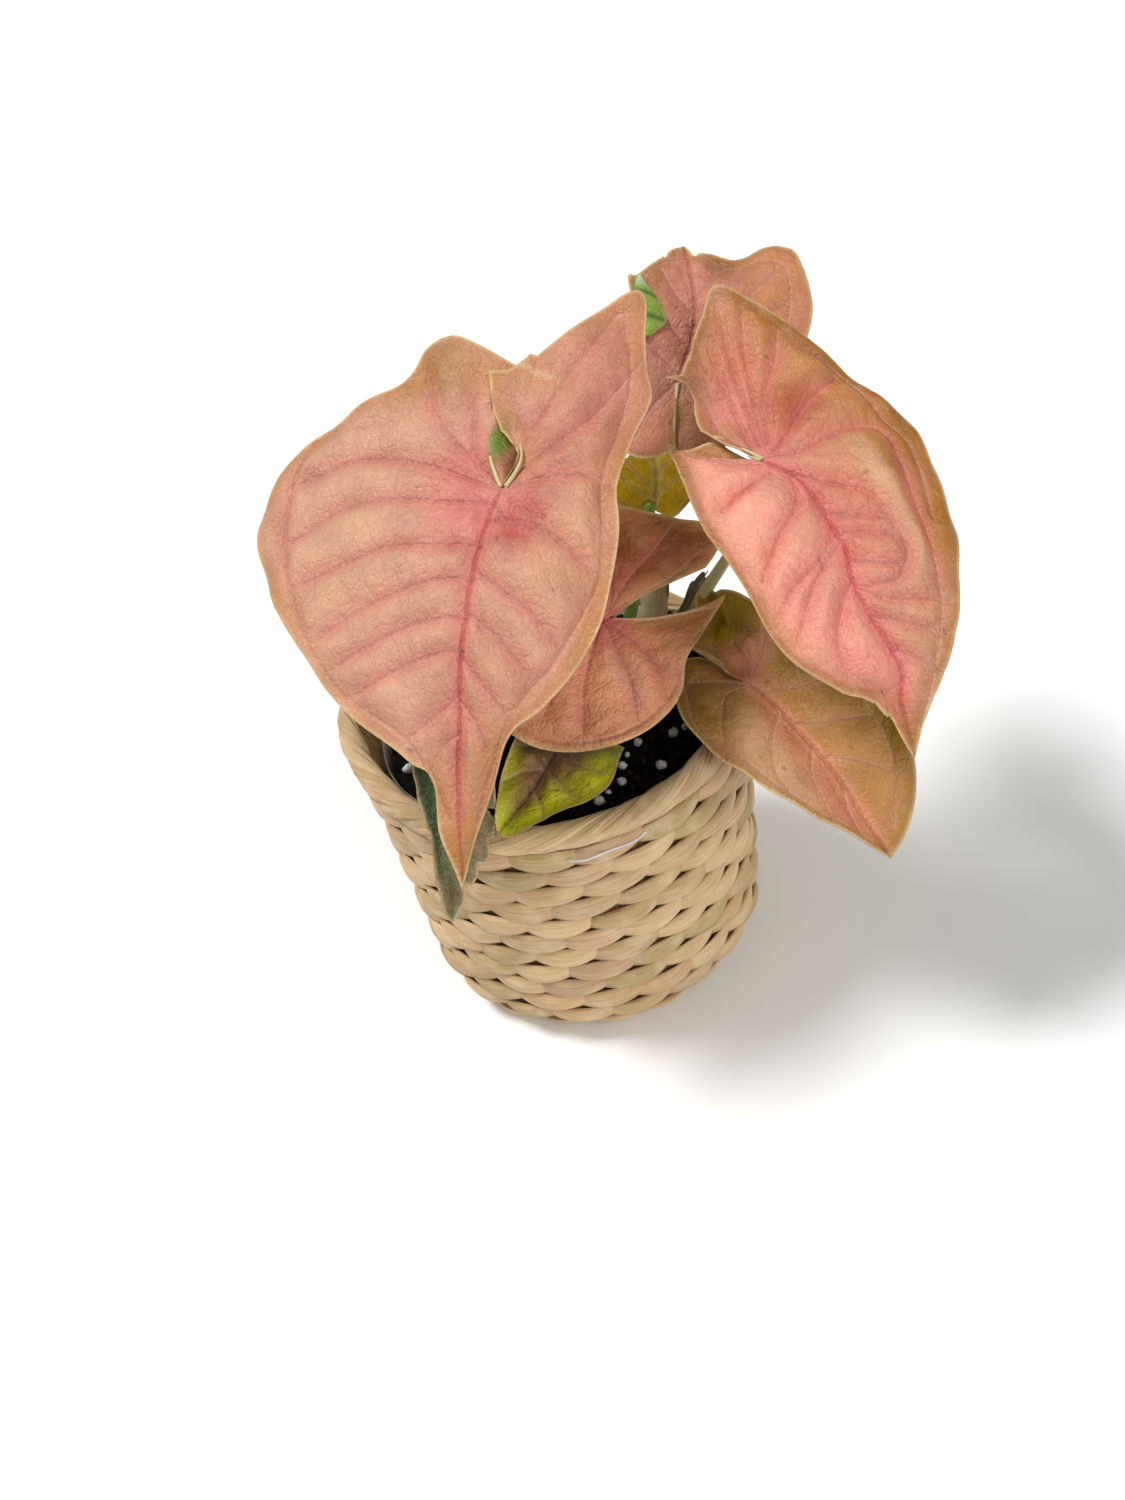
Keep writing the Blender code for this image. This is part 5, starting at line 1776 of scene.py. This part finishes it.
def turned_body(name, profile, steps, made, nodes, shape):
    """A closed body turned from a profile of (radius, height) that starts and ends on Z."""
    angle = np.linspace(0, math.tau, steps, endpoint=False)
    profile = np.asarray(profile, float)
    inner = profile[1:-1]
    radius, height = inner[:, 0][None, :], inner[:, 1][None, :]
    turn = angle[:, None]
    radius, height = shape(turn, radius + 0 * turn, height + 0 * turn)
    grid = np.stack([radius * np.cos(turn), radius * np.sin(turn), height + 0 * turn], -1)
    rows = len(inner)
    first = (0.0, 0.0, profile[0][1])
    last = (0.0, 0.0, profile[-1][1])
    points = np.concatenate([grid.reshape(-1, 3), [first, last]])
    faces = grid_faces(steps, rows, closed=True, flip=True)
    for column in range(steps):
        following = (column + 1) % steps
        faces.append([column * rows, following * rows, steps * rows])
        faces.append([following * rows + rows - 1, column * rows + rows - 1, steps * rows + 1])
    make_piece(name, points, faces, made, nodes)


def dress_core(made):
    """The dark strands that show in the gaps, and the basket's inside."""
    top = BASKET_HEIGHT - CORE_DROP
    outer = [(outer_radius(height) - CORE_OUTSIDE, height) for height in np.linspace(top, 1.2, 26)]
    inner = [(outer_radius(height) - CORE_INSIDE, height) for height in np.linspace(14, top, 8)]
    profile = [(0, 3.8), (20, 3.8), (36, 3.9)] + inner + outer + [(30, 0.9), (15, 0.9), (0, 0.9)]

    def shape(turn, radius, height):
        return radius + bulge(turn, height) * (radius > 38), height

    turned_body("basket_core", profile, CORE_STEPS, made, (), shape)


def dress_fibre(made):
    """A stray clear fibre on the front of the wall and its end on the rim."""
    share = np.linspace(0, 1, 40)
    angle = FIBRE_START + FIBRE_SWEEP * share
    height = FIBRE_HEIGHT - 0.8 * np.sin(share * 3.1) + 1.6 * share**3
    line = on_wall(angle, height, 2.3 + 0.5 * np.sin(share * 9))
    points, faces, _ = tube(line, np.full(len(line), FIBRE_RADIUS), 8)
    make_piece("stray_fibre", points, faces, made)


# Liner and soil


def dress_liner(made):
    """Thin clear film whose edge stands wavy above the mix."""
    steps, rows = LINER_STEPS, LINER_LEVELS
    angle = np.linspace(0, math.tau, steps, endpoint=False)
    turn, climb = np.meshgrid(angle, np.linspace(0, 1, rows), indexing="ij")
    x, y = np.cos(turn) * CRUMPLE_RADIUS, np.sin(turn) * CRUMPLE_RADIUS
    crumple = waves(x, y + climb * 12, 7, 41)
    low = SOIL_BOTTOM - 0.5
    top = LINER_TOP - 0.5 + 0.7 * waves(x, y, 10, 42)
    height = low + (top - low) * climb
    flared = LINER_FOOT_RADIUS + (LINER_RADIUS - LINER_FOOT_RADIUS) * climb
    radius = flared - 0.25 + 0.15 * crumple * climb
    grid = np.stack([radius * np.cos(turn), radius * np.sin(turn), height], -1)
    inner = grid - np.stack([np.cos(turn), np.sin(turn), 0 * turn], -1) * LINER_FILM
    points = np.concatenate([grid.reshape(-1, 3), inner.reshape(-1, 3)])
    count = steps * rows
    faces = grid_faces(steps, rows, closed=True)
    faces += grid_faces(steps, rows, count, closed=True, flip=True)
    for column in range(steps):
        following = (column + 1) % steps
        for row, turned in ((0, False), (rows - 1, True)):
            first, second = column * rows + row, following * rows + row
            quad = [first, second, second + count, first + count]
            faces.append(quad if turned else quad[::-1])
    make_piece("liner_film", points, faces, made, ["liner"])


def soil_height(x, y):
    """Height of the mix at a place."""
    lumps = np.sin(0.55 * x + 1.3) * np.sin(0.61 * y) + 0.6 * np.sin(0.9 * x - 0.8 * y)
    return SOIL_TOP + SOIL_BUMP * lumps + 0.35 * waves(x, y, 1.6, 51) + 0.3 * waves(x, y, 0.8, 52)


def dress_soil(made):
    """The potting mix with its lumpy top."""
    profile = [(radius, SOIL_TOP) for radius in np.linspace(0, SOIL_RADIUS - 0.4, SOIL_RINGS)]
    profile += [(SOIL_RADIUS - 0.2, SOIL_TOP - 1), (SOIL_RADIUS - 1.5, 40)]
    profile += [(38.5, SOIL_BOTTOM), (0, SOIL_BOTTOM)]

    def shape(turn, radius, height):
        x, y = radius * np.cos(turn), radius * np.sin(turn)
        inside = height > SOIL_TOP - 0.1
        return radius, np.where(inside, soil_height(x, y), height)

    turned_body("soil_surface", profile, SOIL_STEPS, made, ["soil"], shape)


def pebble_form(level):
    """Points and faces of a unit ball."""
    ball = bmesh.new()
    bmesh.ops.create_icosphere(ball, subdivisions=level, radius=1.0)
    ball.verts.ensure_lookup_table()
    points = np.array([vertex.co for vertex in ball.verts])
    faces = np.array([[vertex.index for vertex in face.verts] for face in ball.faces])
    ball.free()
    return points, faces


def scatter(count, seed, sizes, flatness):
    """Places, sizes and turns of grains on the soil, clear of the stalks."""
    draw = np.random.default_rng(seed)
    feet = np.array([leaf["foot"] for leaf in LEAVES.values()], float)
    grains = []
    while len(grains) < count:
        away = (SOIL_RADIUS - 3) * math.sqrt(draw.random())
        turn = draw.uniform(0, math.tau)
        place = np.array([away * math.cos(turn), away * math.sin(turn)])
        size = draw.uniform(*sizes)
        if np.min(np.hypot(*(feet - place).T)) < STALK_CLEARANCE + size:
            continue
        form = size * draw.uniform(*flatness, 3)
        grains.append((place, form, Matrix.Rotation(draw.uniform(0, math.tau), 3, draw.normal(size=3))))
    return grains


def dress_grains(name, count, seed, sizes, flatness, level, rough, colours, made):
    """Loose grains on the soil as one piece."""
    draw = np.random.default_rng(seed + 1)
    ball, ball_faces = pebble_form(level)
    points, faces, tints = [], [], []
    for number, (place, form, turn) in enumerate(scatter(count, seed, sizes, flatness)):
        x, y = ball[:, 0] + 5 * number, ball[:, 1] + ball[:, 2] * 1.7
        lumps = 1 + rough * waves(x, y, 0.55, seed + number, 5)
        grain = (ball * lumps[:, None] * form) @ np.array(turn).T
        lift = float(soil_height(*place)) + 0.35 * form.min()
        points.append(grain + (*place, lift))
        faces.append(ball_faces + number * len(ball))
        tints.append(np.tile(linear(colours[draw.integers(len(colours))]), (len(ball), 1)))
    faces = np.concatenate(faces).tolist()
    piece = make_piece(name, np.concatenate(points), faces, made)
    write_colours(piece.data, "tint", np.concatenate(tints))


# Stage


def add_sun(name, direction, spread, strength):
    """A white sun that shines from a direction."""
    light = bpy.data.lights.new(name, "SUN")
    light.energy = strength
    light.angle = math.radians(spread)
    lamp = bpy.data.objects.new(name, light)
    bpy.context.scene.collection.objects.link(lamp)
    lamp.rotation_euler = Vector(direction).to_track_quat("Z", "Y").to_euler()


def add_stage():
    """A pale floor, an even white surrounding and two suns."""
    scene = bpy.context.scene
    floor = bpy.data.meshes.new("floor")
    corners = [(x * FLOOR_REACH, y * FLOOR_REACH, 0) for x, y in ((-1, -1), (1, -1), (1, 1), (-1, 1))]
    floor.from_pydata(corners, [], [[0, 1, 2, 3]])
    nodes = Nodes("pale_floor")
    nodes.set(Base_Color=(0.96, 0.96, 0.96, 1.0), Roughness=0.9)
    floor.materials.append(nodes.material)
    plane = bpy.data.objects.new("floor", floor)
    scene.collection.objects.link(plane)
    world = bpy.data.worlds.new("studio")
    world.use_nodes = True
    background = world.node_tree.nodes["Background"]
    background.inputs["Color"].default_value = (1.0, 1.0, 1.0, 1.0)
    background.inputs["Strength"].default_value = WORLD_LIGHT
    scene.world = world
    for light in LIGHTS:
        add_sun(*light)
    scene.view_settings.view_transform = "Standard"


def add_camera():
    """The camera that took the picture, turned a little about its axis."""
    data = bpy.data.cameras.new("camera")
    data.lens = CAMERA_LENS
    data.sensor_width = SENSOR
    data.clip_start = 0.01
    camera = bpy.data.objects.new("camera", data)
    bpy.context.scene.collection.objects.link(camera)
    back = np.array([0, -math.cos(CAMERA_RISE), math.sin(CAMERA_RISE)])
    right = np.array([1.0, 0, 0])
    above = np.cross(back, right)
    turned_right = math.cos(CAMERA_ROLL) * right + math.sin(CAMERA_ROLL) * above
    turned_up = -math.sin(CAMERA_ROLL) * right + math.cos(CAMERA_ROLL) * above
    matrix = Matrix.Identity(4)
    for row in range(3):
        matrix[row][0] = turned_right[row]
        matrix[row][1] = turned_up[row]
        matrix[row][2] = back[row]
        matrix[row][3] = CAMERA_AIM[row] + CAMERA_AWAY * back[row]
    camera.matrix_world = matrix
    bpy.context.scene.camera = camera


def main():
    """The stage, the leaves with their stalks, the basket and what fills it."""
    add_camera()
    add_stage()
    leaf = leaf_material()
    withered = dry_leaf_material()
    stalk = stalk_material()
    paper = sheath_material()
    straw = straw_material()
    for seed, name in enumerate(LEAVES):
        dress_leaf(name, withered if name == "leaf_hanging" else leaf, 100 + 20 * seed)
        dress_stalk(name, stalk, seed)
    for name, look in LOOKS.items():
        if "bare" in look:
            dress_bare_ribs(name, stalk)
    dress_curl("leaf_back", leaf, 41)
    for seed, name in enumerate(SHEATHS):
        dress_sheath(name, paper, 60 + seed)
    dress_wall(straw)
    dress_base(straw)
    dress_rim(straw)
    dress_core(core_material())
    dress_fibre(fibre_material())
    dress_liner(film_material())
    dress_soil(soil_material())
    dress_grains(*CRUMBS, bark_material())
    dress_grains(*PERLITE, perlite_material())


main()
